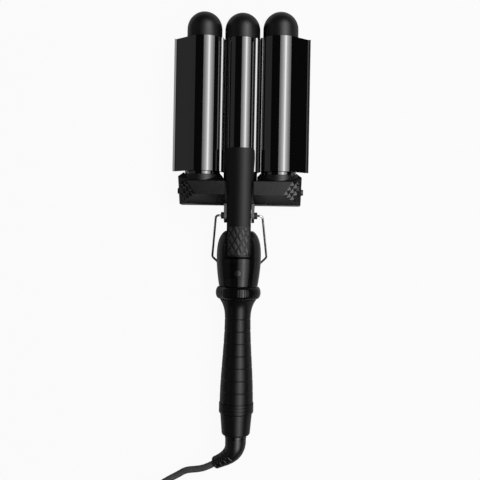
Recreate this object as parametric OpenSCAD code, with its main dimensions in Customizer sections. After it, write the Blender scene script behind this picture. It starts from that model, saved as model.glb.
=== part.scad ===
// Three-barrel hair waver. It lies on its back: X to its right, Y along it towards the barrel
// tips, Z up towards the thumb lever. The pieces are drawn around the handle's axis, with Y
// counted from the butt end, and placed at the end of the file.

/* [Barrels] */
// Outside diameter of each heated barrel
barrel_d = 32; // [26:0.5:39]
// Clear gap between neighbouring barrels
barrel_gap = 2.7; // [2.4:0.1:5]
// Wall of the barrel tubes
barrel_wall = 1.5; // [1.2:0.1:2]
// Length of barrel between the head block and the tip
barrel_len = 121.8; // [90:0.1:150]
// How far the centre barrel ends behind the outer ones
centre_setback = 1; // [0:0.1:3]
// Straight part of a heat-proof tip below its dome
tip_straight = 9.4; // [8:0.1:20]
// Wall of the moulded tips
tip_wall = 1.8; // [1.4:0.1:2.5]

/* [Wing covers] */
// Air gap between a wing cover and the outer barrel below it
cover_gap = 1.8; // [1.4:0.1:3]
// Wall of the wing covers
cover_wall = 1.8; // [1.4:0.1:2.2]
// How far the flat flange reaches outwards past the cover's arc
flange_out = 11; // [6:0.5:12]
// How far the flange drops towards the back
flange_drop = 7.6; // [5:0.1:8.5]
// Width of the lip along the flange's edge
lip_out = 2.8; // [1.5:0.1:4]
// Height above the axis to which the valley beside the centre tube is filled
valley_h = 7; // [4:0.1:9]

/* [Head block] */
// Height of the block's body along the tool
block_len = 28.6; // [26:0.1:36]
// Width of block past the outer barrel's side, for the faceted ends
block_end = 4.7; // [3.5:0.1:8]
// Height of the block's front face above the barrel axis
block_front_h = 18.5; // [18.3:0.1:22.5]
// Wall of the moulded shells of the block
block_wall = 2; // [1.6:0.1:2.4]

/* [Lever and hinge] */
// Distance from the housing's top to the hinge axis
hinge_rise = 13.7; // [12.5:0.1:17]
// Height of the hinge axis above the barrel axis
hinge_h = 10; // [9.4:0.1:10.6]
// Width of the lever at the hinge
lever_w = 21.5; // [20:0.1:22]
// Width of the lever's upper end, over the centre barrel
lever_top_w = 26.6; // [23:0.1:27]
// Length of the thumb pad
pad_len = 26.5; // [20:0.1:29]
// How far the lever opens, in degrees
lever_open = 12; // [6:1:12]
// Diameter of the hollow hinge pin
pin_d = 4; // [3.4:0.1:4.4]

/* [Handle] */
// Length of the grip from the butt end to the dial
grip_len = 124; // [100:1:150]
// Diameter of the grip's waist
waist_d = 23.6; // [22:0.1:29]
// Diameter of the grip at its lower end
grip_d = 30.4; // [28:0.1:37]
// Diameter of the grip where it meets the dial
throat_d = 33.8; // [32:0.1:41]
// Diameter of the temperature dial, which also sets how high the tool's axis lies
dial_d = 41; // [40:0.1:48]
// Width of the temperature dial
dial_w = 11.9; // [10:0.1:15]
// Largest diameter of the bulb housing
bulb_d = 40.4; // [39.2:0.1:41]
// Length of the bulb housing
housing_len = 50.1; // [47:0.1:60]
// Wall of the moulded shells of the handle and the housing
shell_wall = 2.2; // [1.8:0.1:2.6]

/* [Wire stand] */
// Diameter of the stand's wire
wire_d = 2; // [1.6:0.1:2]
// Distance of the stand's upper corners from the middle plane
stand_top_x = 20.9; // [20:0.1:24]
// Distance of its lower corners from the middle plane
stand_low_x = 25.3; // [24:0.1:30]

/* [Cord] */
// Diameter of the mains cord
cord_d = 6; // [5:0.1:6]

/* [Hidden] */
$fn = 64;

// Clearances
run = 0.05;     // a shaft in its bore, on the radius
seat = 0.03;    // a piece held still in its seat, on the radius
part_gap = 0.3; // between pieces that pass each other
big = 400;      // longer than the whole tool

// Levels along the tool, from the butt end
band_s0 = 20.6;
band_w = 9.1;
band_s1 = band_s0 + band_w;
waist_s = grip_len - 18;
dial_s0 = grip_len;
dial_s1 = dial_s0 + dial_w;
house_s1 = dial_s1 + housing_len;
pivot_s = house_s1 + hinge_rise;
block_s0 = pivot_s + 10.3;
face_s0 = block_s0 + 8;
face_s1 = block_s0 + 20;
block_s1 = block_s0 + block_len;
foot_s0 = block_s0 + 9;
collar_s0 = block_s1 - 9.6;
collar_s1 = block_s1 - 2.1;
jaw_s0 = block_s1 + 0.7;
barrel_s1 = block_s1 + barrel_len;
jaw_s1 = barrel_s1 - centre_setback;
tip_s1 = barrel_s1 + tip_straight + barrel_d / 2;
// The swivel ball is cut flat here, where the cord's sleeve begins
sleeve_s = -3;

// The tool lies on its dial, its block and its stand
axis_h = dial_d / 2;
tool_mid = (tip_s1 + sleeve_s) / 2;

barrel_r = barrel_d / 2;
barrel_in = barrel_r - barrel_wall;
pitch = barrel_d + barrel_gap;
collar_r = barrel_r + 1.2;
block_x = pitch + barrel_r + block_end;
cover_in = barrel_r + cover_gap;
cover_r = cover_in + cover_wall;
holder_r = barrel_r - 0.7;
crown_r = barrel_r + 2.7;
slot_x = 13;
neck_r = 8;
neck_bore = 5.5;
neck_h = -3.5;
pin_r = pin_d / 2;
wire_r = wire_d / 2;
ear_x0 = lever_w / 2 + 0.35;
ear_x1 = ear_x0 + 2.4;
boss_x1 = ear_x1 + 2.8;
board_t = 1.6;
screw_r = 1.2;

// ---- shapes that repeat ----

function smooth(t) = t * t * (3 - 2 * t);

// A cylinder along the tool
module rod_s(r, s0, s1) {
    translate([0, s0, 0]) rotate([-90, 0, 0]) cylinder(r = r, h = s1 - s0);
}

// A cylinder across the tool
module rod_x(r, x0, x1) {
    translate([x0, pivot_s, hinge_h]) rotate([0, 90, 0]) cylinder(r = r, h = x1 - x0);
}

// A profile of radius against length, turned around the tool's axis
module turn_s(points) {
    rotate([-90, 0, 0]) rotate_extrude() polygon(points);
}

// A section across the tool, drawn along it
module along_s(s0, s1) {
    translate([0, s1, 0]) rotate([90, 0, 0]) linear_extrude(s1 - s0) children();
}

// A side view of length against height, drawn across the tool
module across_x(x0, x1) {
    translate([x0, 0, 0]) rotate([90, 0, 90]) linear_extrude(x1 - x0) children();
}

// A box from its lowest to its highest corner
module box(low, high) {
    translate(low) cube(high - low);
}

module front_half(h = 0) {
    intersection() {
        children();
        box([-big, -big, h], [big, big, big]);
    }
}

module rear_half(h = 0) {
    intersection() {
        children();
        box([-big, -big, -big], [big, big, h]);
    }
}

module both_sides() {
    children();
    mirror([1, 0, 0]) children();
}

// A screw driven from the back: its head's face at h, its shank towards the front
module screw(x, s, h, length, head_r = 2.2) {
    translate([x, s, h]) difference() {
        union() {
            cylinder(r = head_r, h = 1.5);
            cylinder(r = screw_r, h = length);
        }
        translate([0, 0, -1]) cylinder(r = 1, h = 1.8, $fn = 6);
    }
}

// ---- handle ----

function grip_r(s) =
    s > waist_s
    ? waist_d / 2 + (throat_d - waist_d) / 2 * pow((s - waist_s) / (grip_len - waist_s), 2.5)
    : waist_d / 2 + (grip_d - waist_d) / 2
        * smooth(min(1, (waist_s - s) / (waist_s - band_s1)));

groove_depth = 0.35;
groove_half = 0.35;
groove_pitch = 11;
groove_count = 7;
function groove_at(i) = waist_s - i * groove_pitch * (waist_s - band_s1) / 76.3;

// Points of the grip's outline, in steps of its length, with its shallow grooves
function grip_outline(inset) = [
    for (s = [band_s1 : (grip_len - band_s1) / 48 : grip_len + 0.01])
        [grip_r(s) - inset, min(s, grip_len - part_gap)]
];

module grip_solid(inset, s0 = band_s1) {
    turn_s(concat([[0, band_s1]], grip_outline(inset), [[0, grip_len - part_gap]]));
}

module grip_shell() {
    spigot_r = grip_d / 2 - shell_wall;
    difference() {
        union() {
            grip_solid(0);
            rod_s(spigot_r, band_s0 - 6, band_s1 + 1);
        }
        difference() {
            grip_solid(shell_wall);
            box([-big, grip_len - 3, -big], [big, big, big]);
        }
        rod_s(spigot_r - shell_wall, band_s0 - 7, band_s1 + 3);
        // The spine's tail passes through the closed throat
        rod_s(spine_tail_r + seat, grip_len - 4, grip_len + 1);
        for (i = [0 : groove_count - 1])
            groove_ring(groove_at(i));
    }
}

// A shallow groove around the grip
module groove_ring(s) {
    r = grip_r(s);
    turn_s([
        [r - groove_depth, s - groove_half / 2], [r + 1, s - groove_half],
        [r + 1, s + groove_half], [r - groove_depth, s + groove_half / 2]
    ]);
}

grip_screw_s = [band_s1 + 12, waist_s - 6];
module grip_posts(low, high, bore) {
    for (s = grip_screw_s)
        translate([0, s, low]) difference() {
            cylinder(r = 3, h = high - low);
            translate([0, 0, -1]) cylinder(r = bore, h = high - low + 2);
        }
}

module grip_front() {
    color("#161617") {
        difference() {
            union() {
                front_half() grip_shell();
                intersection() {
                    grip_solid(shell_wall / 2);
                    grip_posts(0, 20, screw_r + seat);
                }
            }
            // The screws end below the outer surface
            for (s = grip_screw_s)
                translate([0, s, -1]) cylinder(r = screw_r + seat, h = 7);
        }
    }
}

module grip_rear() {
    color("#161617")
        difference() {
            union() {
                rear_half() grip_shell();
                intersection() {
                    grip_solid(shell_wall / 2);
                    union() {
                        grip_posts(-20, 0, screw_r + 0.2);
                        // Two ribs carry the power board, with a way for the leads
                        for (s = [board_s0 + 3, board_s1 - 5]) difference() {
                            box([-20, s, -20], [20, s + 2, 0]);
                            box([-4, s - 1, -8], [4, s + 3, 1]);
                        }
                    }
                }
            }
            for (s = grip_screw_s)
                translate([0, s, -grip_r(s) - 1]) {
                    cylinder(r = 2.5, h = 4);
                    cylinder(r = screw_r + 0.2, h = 20);
                }
        }
}

module grip_screws() {
    color("#3a3a3c")
        for (s = grip_screw_s)
            screw(0, s, -grip_r(s) + 1.5, grip_r(s) + 3);
}

module grip_band() {
    band_r = grip_d / 2 + 0.55;
    inner_r = grip_d / 2 - shell_wall + seat;
    edge = 0.5;
    color("#131314")
        turn_s([
            [inner_r, band_s0], [band_r - edge, band_s0], [band_r, band_s0 + edge],
            [band_r, band_s0 + 3.2], [band_r - 0.35, band_s0 + 3.5],
            [band_r, band_s0 + 3.8], [band_r, band_s1 - edge], [band_r - edge, band_s1],
            [inner_r, band_s1]
        ]);
}

butt_r0 = grip_d / 2 - 2.25;
butt_r1 = grip_d / 2 - 0.6;
butt_round = 2.2;
ball_r = 9.8;
ball_s = -2.2;
stem_r = 4.95;

module butt_cap() {
    spigot_r = grip_d / 2 - 2 * shell_wall - seat;
    color("#151516")
        difference() {
            turn_s(concat(
                [[0, 0]],
                [for (a = [0 : 15 : 90])
                    [butt_r0 - butt_round * (1 - sin(a)), butt_round * (1 - cos(a))]],
                [[butt_r1, band_s0 - part_gap], [spigot_r, band_s0 - part_gap],
                 [spigot_r, band_s0 + 2], [0, band_s0 + 2]]
            ));
            // Room for the spigot ring of the two grip shells
            difference() {
                rod_s(grip_d / 2 - shell_wall + seat, band_s0 - 6.3, band_s0 + 3);
                rod_s(spigot_r, band_s0 - 7, band_s0 + 4);
            }
            // Socket of the swivel ball and the bore of its stem
            translate([0, ball_s, 0]) sphere(r = ball_r + part_gap);
            rod_s(stem_r + run, 0, band_s0 + 3);
        }
}

spine_tail_r = grip_r(grip_len - 6) - shell_wall - 0.2;
journal_r = throat_d / 2 - 2.9;
spine_head_s = dial_s1 + part_gap + shell_wall + seat;

// Chassis tube that joins grip and housing and carries the dial. The half shells of grip and
// housing close around its two flanges
module spine() {
    color("#2b2b2e")
        difference() {
            union() {
                rod_s(journal_r, dial_s0 - part_gap, spine_head_s);
                rod_s(journal_r + 1.4, spine_head_s, spine_head_s + 2);
                rod_s(spine_tail_r, grip_len - 4.5, dial_s0);
                rod_s(spine_tail_r + 0.6, grip_len - 4.5, grip_len - 3 - seat);
            }
            rod_s(spine_tail_r - 2.2, dial_s0 - 8, dial_s1 + 11);
        }
}

board_s0 = band_s1 + 18;
board_s1 = waist_s - 12;

module power_board() {
    color("#1f5a38") box([-7, board_s0, 0], [7, board_s1, board_t]);
    color("#3d4a6b") translate([0, board_s0 + 10, board_t]) cylinder(r = 4, h = 5);
    color("#c9b458") box([-5, board_s1 - 16, board_t], [5, board_s1 - 4, board_t + 4]);
}

// ---- dial ----

dial_r = dial_d / 2;
dial_edge_r = dial_r - 3.2;

module temperature_dial() {
    half = dial_w / 2 - part_gap;
    mid = dial_s0 + dial_w / 2;
    color("#101011")
        difference() {
            turn_s(concat(
                [[journal_r + run, mid - half]],
                [for (a = [-90 : 10 : 90])
                    [dial_edge_r + (dial_r - dial_edge_r) * cos(a), mid + half * sin(a)]],
                [[journal_r + run, mid + half]]
            ));
        }
}

// ---- bulb housing ----

bulb_r = bulb_d / 2;
bulb_s = dial_s1 + 0.484 * housing_len;
bulb_foot_r = bulb_r - 2.55;
bulb_reach = 0.569 * housing_len;
// The back of the bulb is flat, so that the folded stand can lie under it
bulb_back = axis_h - wire_d - part_gap;

function bulb_at(s) =
    s > bulb_s
    ? bulb_r * pow(1 - pow((s - bulb_s) / bulb_reach, 3), 1 / 3)
    : bulb_foot_r + (bulb_r - bulb_foot_r)
        * (1 - pow((bulb_s - s) / (bulb_s - dial_s1), 1.6));

module bulb_solid(inset, s0, s1) {
    steps = 36;
    turn_s(concat(
        [[0, s0]],
        [for (i = [0 : steps]) let (s = s0 + (s1 - s0) * i / steps) [bulb_at(s) - inset, s]],
        [[0, s1]]
    ));
}

house_s0 = dial_s1 + part_gap;
recess_x = lever_w / 2 + 0.55;
recess_s0 = pivot_s - 38.7;
recess_low = 5.3;
recess_top = 9;
tub_wall = 1.6;

module recess_side(grow) {
    across_x(-recess_x - grow, recess_x + grow)
        polygon([
            [recess_s0 - grow, recess_low - grow], [house_s1 + 1, recess_top - grow],
            [house_s1 + 1, 30], [recess_s0 - grow, 30]
        ]);
}

panel_s0 = dial_s1 + 7.5;
panel_s1 = panel_s0 + 13.2;
panel_x = 12;
button_r = 3;
button_s = panel_s0 + 4.8;

module panel_block(grow, low) {
    box([-panel_x - grow, panel_s0 - grow, low], [panel_x + grow, panel_s1 + grow, 30]);
}

module bulb_body() {
    intersection() {
        bulb_solid(0, house_s0, house_s1);
        box([-big, -big, -bulb_back], [big, big, big]);
    }
}

module bulb_shell() {
    difference() {
        bulb_body();
        intersection() {
            bulb_solid(shell_wall, house_s0 + shell_wall, house_s1 - shell_wall);
            box([-big, -big, -bulb_back + shell_wall], [big, big, big]);
        }
        // The spine's head and the neck
        rod_s(journal_r + seat, house_s0 - 1, spine_head_s);
        translate([0, 0, neck_h]) rod_s(neck_r + seat, house_s1 - 5, house_s1 + 1);
    }
}

house_screw_x = 12.6;
house_screw_s = dial_s1 + 20;

module house_posts(low, high, bore) {
    for (x = [-house_screw_x, house_screw_x])
        translate([x, house_screw_s, low]) difference() {
            cylinder(r = 2.8, h = high - low);
            translate([0, 0, -1]) cylinder(r = bore, h = high - low + 2);
        }
}

module housing_front() {
    color("#0c0c0d")
        difference() {
            union() {
                front_half() bulb_shell();
                intersection() {
                    front_half() bulb_body();
                    recess_side(tub_wall);
                }
                intersection() {
                    front_half() bulb_solid(shell_wall / 2, house_s0, house_s1);
                    house_posts(0, 20, screw_r + seat);
                }
                // Ledge that carries the panel
                intersection() {
                    bulb_solid(1.5, house_s0, house_s1);
                    panel_block(1.5, bulb_r - 6.5);
                }
            }
            recess_side(0);
            // The seat of the panel and the window below it
            difference() {
                panel_block(0.1, 8);
                bulb_solid(1.5, house_s0, house_s1);
            }
            box([-9, panel_s0 + 0.8, 5], [9, panel_s1 - 1, 30]);
            translate([0, 0, neck_h]) rod_s(neck_r + seat, house_s1 - 17, house_s1 + 1);
        }
}

module housing_rear() {
    color("#0c0c0d")
        difference() {
            union() {
                rear_half() bulb_shell();
                intersection() {
                    rear_half() bulb_solid(shell_wall / 2, house_s0, house_s1);
                    house_posts(-bulb_back + 1, 0, screw_r + 0.2);
                }
                // Cradle of the neck tube
                intersection() {
                    rear_half() bulb_solid(shell_wall / 2, house_s0, house_s1);
                    box([-11, house_s1 - 14, -30], [11, house_s1 - 11, 0]);
                }
            }
            translate([0, 0, neck_h]) rod_s(neck_r + seat, house_s1 - 17, house_s1 + 1);
            for (x = [-house_screw_x, house_screw_x])
                translate([x, house_screw_s, -bulb_back - 1]) {
                    cylinder(r = 2.5, h = 6);
                    cylinder(r = screw_r + 0.2, h = 30);
                }
        }
}

module housing_screws() {
    color("#3a3a3c")
        for (x = [-house_screw_x, house_screw_x])
            screw(x, house_screw_s, -bulb_back + 3.5, bulb_back + 3);
}

// Glossy window that follows the bulb, with a hole for the button
module control_panel() {
    color("#050506")
        difference() {
            intersection() {
                bulb_solid(0, house_s0, house_s1);
                panel_block(0, 8);
            }
            bulb_solid(1.45, house_s0, house_s1);
            translate([0, button_s, 0]) cylinder(r = button_r + 0.25, h = 40);
        }
}

button_travel = 0.8;
button_low = bulb_r - 4.7;
board_top = bulb_r - 10.5;

module power_button() {
    color("#1c1c1e")
        translate([0, button_s, 0]) intersection() {
            union() {
                translate([0, 0, button_low]) cylinder(r = button_r, h = 8);
                translate([0, 0, button_low]) cylinder(r = button_r + 0.6, h = 1);
            }
            // A shallow dome, proud of the panel
            translate([0, 0, bulb_r - 11.3]) sphere(r = 11.5);
        }
}

module display_module() {
    color("#26303a") {
        box([-8.5, panel_s0 + 9, board_top], [8.5, panel_s1 - 1.3, bulb_r - 4]);
        // Tactile switch below the button
        box([-3, button_s - 3, board_top], [3, button_s + 3, board_top + 1.5]);
        translate([0, button_s, board_top])
            cylinder(r = 1.6, h = button_low - button_travel - 0.1 - board_top);
    }
}

module control_board() {
    half = house_screw_x - 2.8 - 0.1;
    low = board_top - board_t;
    color("#1f5a38") box([-half, panel_s0 - 2, low], [half, recess_s0 - 3, board_top]);
    color("#2a2a2c") {
        box([4, button_s - 2, board_top], [9, button_s + 3, board_top + 1.2]);
        box([-3, panel_s0 + 4, low - 2.5], [5, panel_s0 + 12, low]);
    }
}

// ---- neck and hinge ----

module neck_tube() {
    color("#2e2e31")
        translate([0, 0, neck_h]) difference() {
            union() {
                rod_s(neck_r, house_s1 - 16.5, block_s0 + 8);
                rod_s(neck_r + 1.5, block_s0 + block_wall + 0.1, block_s0 + block_wall + 2.1);
            }
            rod_s(neck_bore, house_s1 - 18, block_s0 + 10);
        }
}

base_t = 2.4;
ear_r = 6.5;

module hinge_bracket() {
    color("#66666a")
        difference() {
            union() {
                both_sides() across_x(ear_x0, ear_x1) {
                    translate([pivot_s, hinge_h]) circle(r = ear_r);
                    polygon([
                        [pivot_s, hinge_h - ear_r], [block_s0, -14],
                        [block_s0, hinge_h + ear_r], [pivot_s, hinge_h + ear_r]
                    ]);
                }
                box([-ear_x1, block_s0 - base_t, -14], [ear_x1, block_s0, 4.9]);
            }
            rod_x(pin_r + seat, -20, 20);
            translate([0, 0, neck_h]) rod_s(neck_r + seat, block_s0 - 4, block_s0 + 1);
            both_sides() translate([9, 0, bracket_screw_h])
                rod_s(screw_r + 0.2, block_s0 - 4, block_s0 + 1);
        }
}

bracket_screw_h = -11.8;

module bracket_screws() {
    color("#8c8c90")
        both_sides() translate([9, 0, bracket_screw_h]) difference() {
            union() {
                rod_s(2.1, block_s0 - base_t - 1.4, block_s0 - base_t);
                rod_s(screw_r, block_s0 - base_t - 1, block_s0 + 6);
            }
            translate([0, block_s0 - base_t - 2, 0]) rotate([-90, 0, 0])
                cylinder(r = 0.9, h = 1.4, $fn = 6);
        }
}

module hinge_pin() {
    color("#b9b9bd")
        difference() {
            rod_x(pin_r, -ear_x1 - 1.2, ear_x1 + 1.2);
            rod_x(wire_r + run, -30, 30);
        }
}

module hinge_bosses() {
    color("#c9c9cd")
        both_sides() difference() {
            rod_x(3, ear_x1, boss_x1);
            rod_x(pin_r + seat, ear_x1 - 1, ear_x1 + 1.3);
            rod_x(wire_r + run, 0, 30);
        }
}

// ---- swept tubes ----

// Sum of the steps between points, up to point i
function unit(v) = v / norm(v);
function tangent(p, i) = unit(p[min(i + 1, len(p) - 1)] - p[max(i - 1, 0)]);
// A side direction that keeps level, for routes that never run straight up
function side_of(t) = unit(cross([0, 0, 1], t));

function tube_points(p, radii, sides) = [
    for (i = [0 : len(p) - 1])
        let (t = tangent(p, i), u = side_of(t), v = cross(t, u))
        for (k = [0 : sides - 1])
            let (a = 360 * (k + 0.5) / sides)
            p[i] + radii[i] * (cos(a) * u + sin(a) * v)
];

function tube_faces(rings, sides) = concat(
    [[for (k = [0 : sides - 1]) k]],
    [for (i = [0 : rings - 2]) for (k = [0 : sides - 1])
        let (a = i * sides + k, b = i * sides + (k + 1) % sides)
        each [[a, a + sides, b + sides], [a, b + sides, b]]],
    [[for (k = [0 : sides - 1]) rings * sides - 1 - k]]
);

module tube(p, radii, sides) {
    polyhedron(points = tube_points(p, radii, sides), faces = tube_faces(len(p), sides));
}

// ---- lever spring ----

spring_wire = 0.55;
spring_r = pin_r + 0.35 + spring_wire;
spring_turns = 5;

module lever_spring() {
    turn = 12;
    lead = 2 * spring_wire + 0.45;
    half = spring_turns * lead / 2;
    leg = 9;
    // The lever's lower edge slopes with the hinge's distance, and the thumb leg ends under it
    thumb_leg = 0.65 * hinge_rise + 1.395;
    coil = [for (i = [0 : spring_turns * turn])
        let (a = 360 * i / turn)
        [-half + lead * i / turn, -spring_r * sin(a), -spring_r * cos(a)]];
    // One leg lies on the bracket's plate, the other pushes the thumb side of the lever up
    route = concat([[-half, leg, 5 - hinge_h + spring_wire]], coil, [[half, -thumb_leg, 0.15]]);
    color("#9a9a9e") translate([0, pivot_s, hinge_h])
        spring_tube(route, spring_wire, 6);
}

// A tube whose side direction is kept across the tool, for coils around the hinge
function spring_points(p, r, sides) = [
    for (i = [0 : len(p) - 1])
        let (t = tangent(p, i), v = unit(cross(t, [1, 0, 0])), u = cross(v, t))
        for (k = [0 : sides - 1])
            let (a = 360 * k / sides)
            p[i] + r * (cos(a) * u + sin(a) * v)
];

module spring_tube(p, r, sides) {
    polyhedron(points = spring_points(p, r, sides), faces = tube_faces(len(p), sides));
}

// ---- wire stand ----

// The stand lies in one plane through the hinge axis, down to the surface under the bulb
stand_foot_s = pivot_s - 49.7;
stand_angle = atan2(hinge_h + axis_h - wire_r, pivot_s - stand_foot_s);
stand_reach = norm([hinge_h + axis_h - wire_r, pivot_s - stand_foot_s]);
stand_corner = stand_reach - (stand_low_x - 13.3) / cos(stand_angle);

// A straight wire between two points of the stand's plane. It reaches a little into the bends
// at its ends, which are a hair thicker
wire_lap = 0.25;
module wire_run(a, b, lap_a = wire_lap) {
    d = b - a;
    u = unit(d);
    translate([a.x - lap_a * u.x, -a.y + lap_a * u.y, 0])
        rotate([0, 0, atan2(-d.y, d.x)]) rotate([0, 90, 0])
            cylinder(r = wire_r, h = norm(d) + wire_lap + lap_a);
}

// A bend of the wire: centre, radius, start angle and sweep
module wire_bend(c, r, from, sweep) {
    translate([c.x, -c.y, 0]) rotate([0, 0, from])
        rotate_extrude(angle = sweep) translate([r, 0]) circle(r = wire_r + 0.02, $fn = 24);
}

module wire_stand() {
    bend = 3;
    run_angle = atan2(stand_corner, stand_low_x - stand_top_x);
    in_angle = atan2(stand_reach - stand_corner, stand_low_x - 13.3);
    // Tangent lengths of the three corners
    turn1 = run_angle;
    turn2 = 180 - in_angle - run_angle;
    turn3 = in_angle;
    cut1 = bend * tan(turn1 / 2);
    cut2 = bend * tan(turn2 / 2);
    cut3 = bend * tan(turn3 / 2);
    p1 = [stand_top_x, 0];
    p2 = [stand_low_x, stand_corner];
    p3 = [13.3, stand_reach];
    d1 = [1, 0];
    d2 = unit(p2 - p1);
    d3 = unit(p3 - p2);
    d4 = [-1, 0];
    color("#d2d2d6")
        translate([0, pivot_s, hinge_h]) rotate([stand_angle, 0, 0]) {
            both_sides() {
                wire_run([ear_x0 + 1.5, 0], p1 - d1 * cut1, 0);
                wire_run(p1 + d2 * cut1, p2 - d2 * cut2);
                wire_run(p2 + d3 * cut2, p3 - d3 * cut3);
                wire_bend(p1 - d1 * cut1 + [0, bend], bend, 90 - turn1, turn1);
                wire_bend(
                    p2 - d2 * cut2 + bend * [-d2.y, d2.x], bend,
                    90 - turn1 - turn2, turn2);
                wire_bend(
                    p3 - d3 * cut3 + bend * [-d3.y, d3.x], bend,
                    90 - turn1 - turn2 - turn3, turn3);
            }
            wire_run([-13.3 + cut3, stand_reach], [13.3 - cut3, stand_reach]);
        }
}

// ---- head block ----

// Side view of the block: flat back, bevelled bottom, front face, sloped top
function block_side(inset) = [
    [block_s0 + 1.5 + inset, -axis_h + inset], [block_s0 + inset, -axis_h + 2 + inset],
    [block_s0 + inset, block_front_h - 13.5], [block_s0 + 3.3 + inset, block_front_h - 10],
    [face_s0 + inset * 0.8, block_front_h - inset],
    [face_s1 - inset * 0.5, block_front_h - inset],
    [block_s1 - inset, block_front_h - 12.5 - inset * 0.4],
    [block_s1 - inset, -axis_h + 3 + inset], [block_s1 - 3 - inset, -axis_h + inset]
];

end_x = pitch + 19;        // where the facets end and the plain rim starts
face_x0 = pitch + 3.9;     // the front face's lower corner
face_x1 = pitch + 11.9;    // its upper corner
facet_drop = 9.5;

module block_solid(inset) {
    half = block_x - inset;
    difference() {
        across_x(-half, half) polygon(block_side(inset));
        both_sides() {
            end_facet(inset);
            // Upper outer corner
            translate([block_x - 4.4 - inset * 1.4, block_s1, 0]) rotate([0, 0, -43])
                box([-5, 0, -big], [20, 20, big]);
        }
    }
}

// Slanted end of the front: the plane through the front face's slanted edge and the rim
module end_facet(inset) {
    edge_angle = atan2(face_s1 - face_s0, face_x1 - face_x0);
    // Distance from the slanted edge to the rim, measured square to the edge
    reach = (end_x - face_x0) * sin(edge_angle) - (face_s1 - face_s0) / 2 * cos(edge_angle);
    tilt = atan2(facet_drop, reach);
    translate([face_x0 - inset, face_s0, block_front_h]) rotate([0, 0, edge_angle - 90])
        rotate([0, tilt, 0])
            box([-10, -60, -inset], [60, 60, 40]);
}

module lever_channel(grow) {
    box([-slot_x - grow, block_s0 - 1, 6.5 - grow], [slot_x + grow, face_s1 + 0.6, 40]);
}

notch_x = holder_r + part_gap;
notch_out = pitch - barrel_r + 0.3;

// Way for the centre barrel's foot, open at the top and right through the block
module foot_notch(grow) {
    translate([0, 0, -big / 2]) linear_extrude(big)
        polygon([
            [-notch_out - grow, block_s1 + 1], [-notch_out - grow, block_s1],
            [-notch_x - grow, block_s1 - 4], [-notch_x - grow, face_s1 + 0.6 - grow],
            [notch_x + grow, face_s1 + 0.6 - grow], [notch_x + grow, block_s1 - 4],
            [notch_out + grow, block_s1], [notch_out + grow, block_s1 + 1]
        ]);
}

module block_hollow() {
    difference() {
        block_solid(block_wall);
        lever_channel(tub_wall);
        foot_notch(1.7);
        // A rib behind the neck's flange
        box([-16, neck_rib_s, -40], [16, neck_rib_s + 2, 40]);
        // Two ribs a side cradle each barrel
        for (s = [foot_s0 + 1.2, collar_s0 - 3])
            both_sides() box([slot_x + tub_wall, s, -40], [block_x, s + 2, 40]);
    }
}

neck_rib_s = block_s0 + block_wall + 2.2;
block_screw_x = [20.4, pitch + 12];
block_screw_s = block_s0 + 5.6;

module block_posts(low, high, bore) {
    both_sides() for (x = block_screw_x)
        translate([x, block_screw_s, low]) difference() {
            cylinder(r = 2.8, h = high - low);
            translate([0, 0, -1]) cylinder(r = bore, h = high - low + 2);
        }
}

module block_shell() {
    difference() {
        block_solid(0);
        block_hollow();
        lever_channel(0);
        foot_notch(0);
        both_sides() translate([pitch, 0, 0]) {
            rod_s(barrel_r + seat, foot_s0, block_s1 + 1);
            rod_s(collar_r + seat, collar_s0, block_s1 + 1);
        }
        translate([0, 0, neck_h]) {
            rod_s(neck_r + seat, block_s0 - 1, block_s0 + 9);
            rod_s(neck_r + 1.5 + seat, block_s0 + block_wall, neck_rib_s);
        }
        both_sides() translate([9, 0, bracket_screw_h])
            rod_s(screw_r + seat, block_s0 - 1, block_s0 + 7);
        // The side screws
        both_sides() translate([block_x + 1, side_screw_s, side_screw_h]) rotate([0, -90, 0])
            cylinder(r = screw_r + seat, h = 6);
    }
}

side_screw_s = block_s0 + 12.3;
side_screw_h = -6;

module block_front() {
    color("#242426")
        difference() {
            union() {
                front_half() block_shell();
                intersection() {
                    block_solid(block_wall / 2);
                    block_posts(0, 30, screw_r + seat);
                }
            }
            both_sides() for (x = block_screw_x)
                translate([x, block_screw_s, -1]) cylinder(r = screw_r + seat, h = 6);
        }
}

module block_rear() {
    color("#242426")
        difference() {
            union() {
                rear_half() block_shell();
                intersection() {
                    block_solid(block_wall / 2);
                    block_posts(-axis_h + 1, 0, screw_r + 0.2);
                }
                both_sides() translate([block_x - 4.6, side_screw_s, side_screw_h])
                    rotate([0, 90, 0]) cylinder(r = 3, h = 3);
            }
            both_sides() translate([block_x - 5, side_screw_s, side_screw_h])
                rotate([0, 90, 0]) cylinder(r = screw_r + seat, h = 6);
            both_sides() for (x = block_screw_x)
                translate([x, block_screw_s, -axis_h - 1]) {
                    cylinder(r = 2.5, h = 5);
                    cylinder(r = screw_r + 0.2, h = 30);
                }
        }
}

module block_screws() {
    color("#3a3a3c")
        both_sides() for (x = block_screw_x)
            screw(x, block_screw_s, -axis_h + 2.5, axis_h + 2);
}

module side_screws() {
    color("#0a0a0b")
        both_sides() difference() {
            translate([block_x - 4, side_screw_s, side_screw_h]) rotate([0, 90, 0]) {
                cylinder(r = screw_r, h = 5);
                translate([0, 0, 4]) cylinder(r1 = 3, r2 = 2.6, h = 2.4);
            }
            translate([block_x + 1, side_screw_s, side_screw_h]) rotate([0, 90, 0])
                cylinder(r = 1.2, h = 4, $fn = 6);
        }
}

// ---- fixed barrels ----

module collar() {
    color("#1b1b1d")
        difference() {
            rod_s(collar_r, collar_s0 + 0.1, collar_s1);
            rod_s(barrel_r + seat, collar_s0 - 1, collar_s1 + 1);
        }
}

module barrel() {
    color("#0a0a0b")
        difference() {
            rod_s(barrel_r, foot_s0 + 0.2, barrel_s1);
            rod_s(barrel_in, foot_s0 - 1, barrel_s1 + 1);
        }
}

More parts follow.
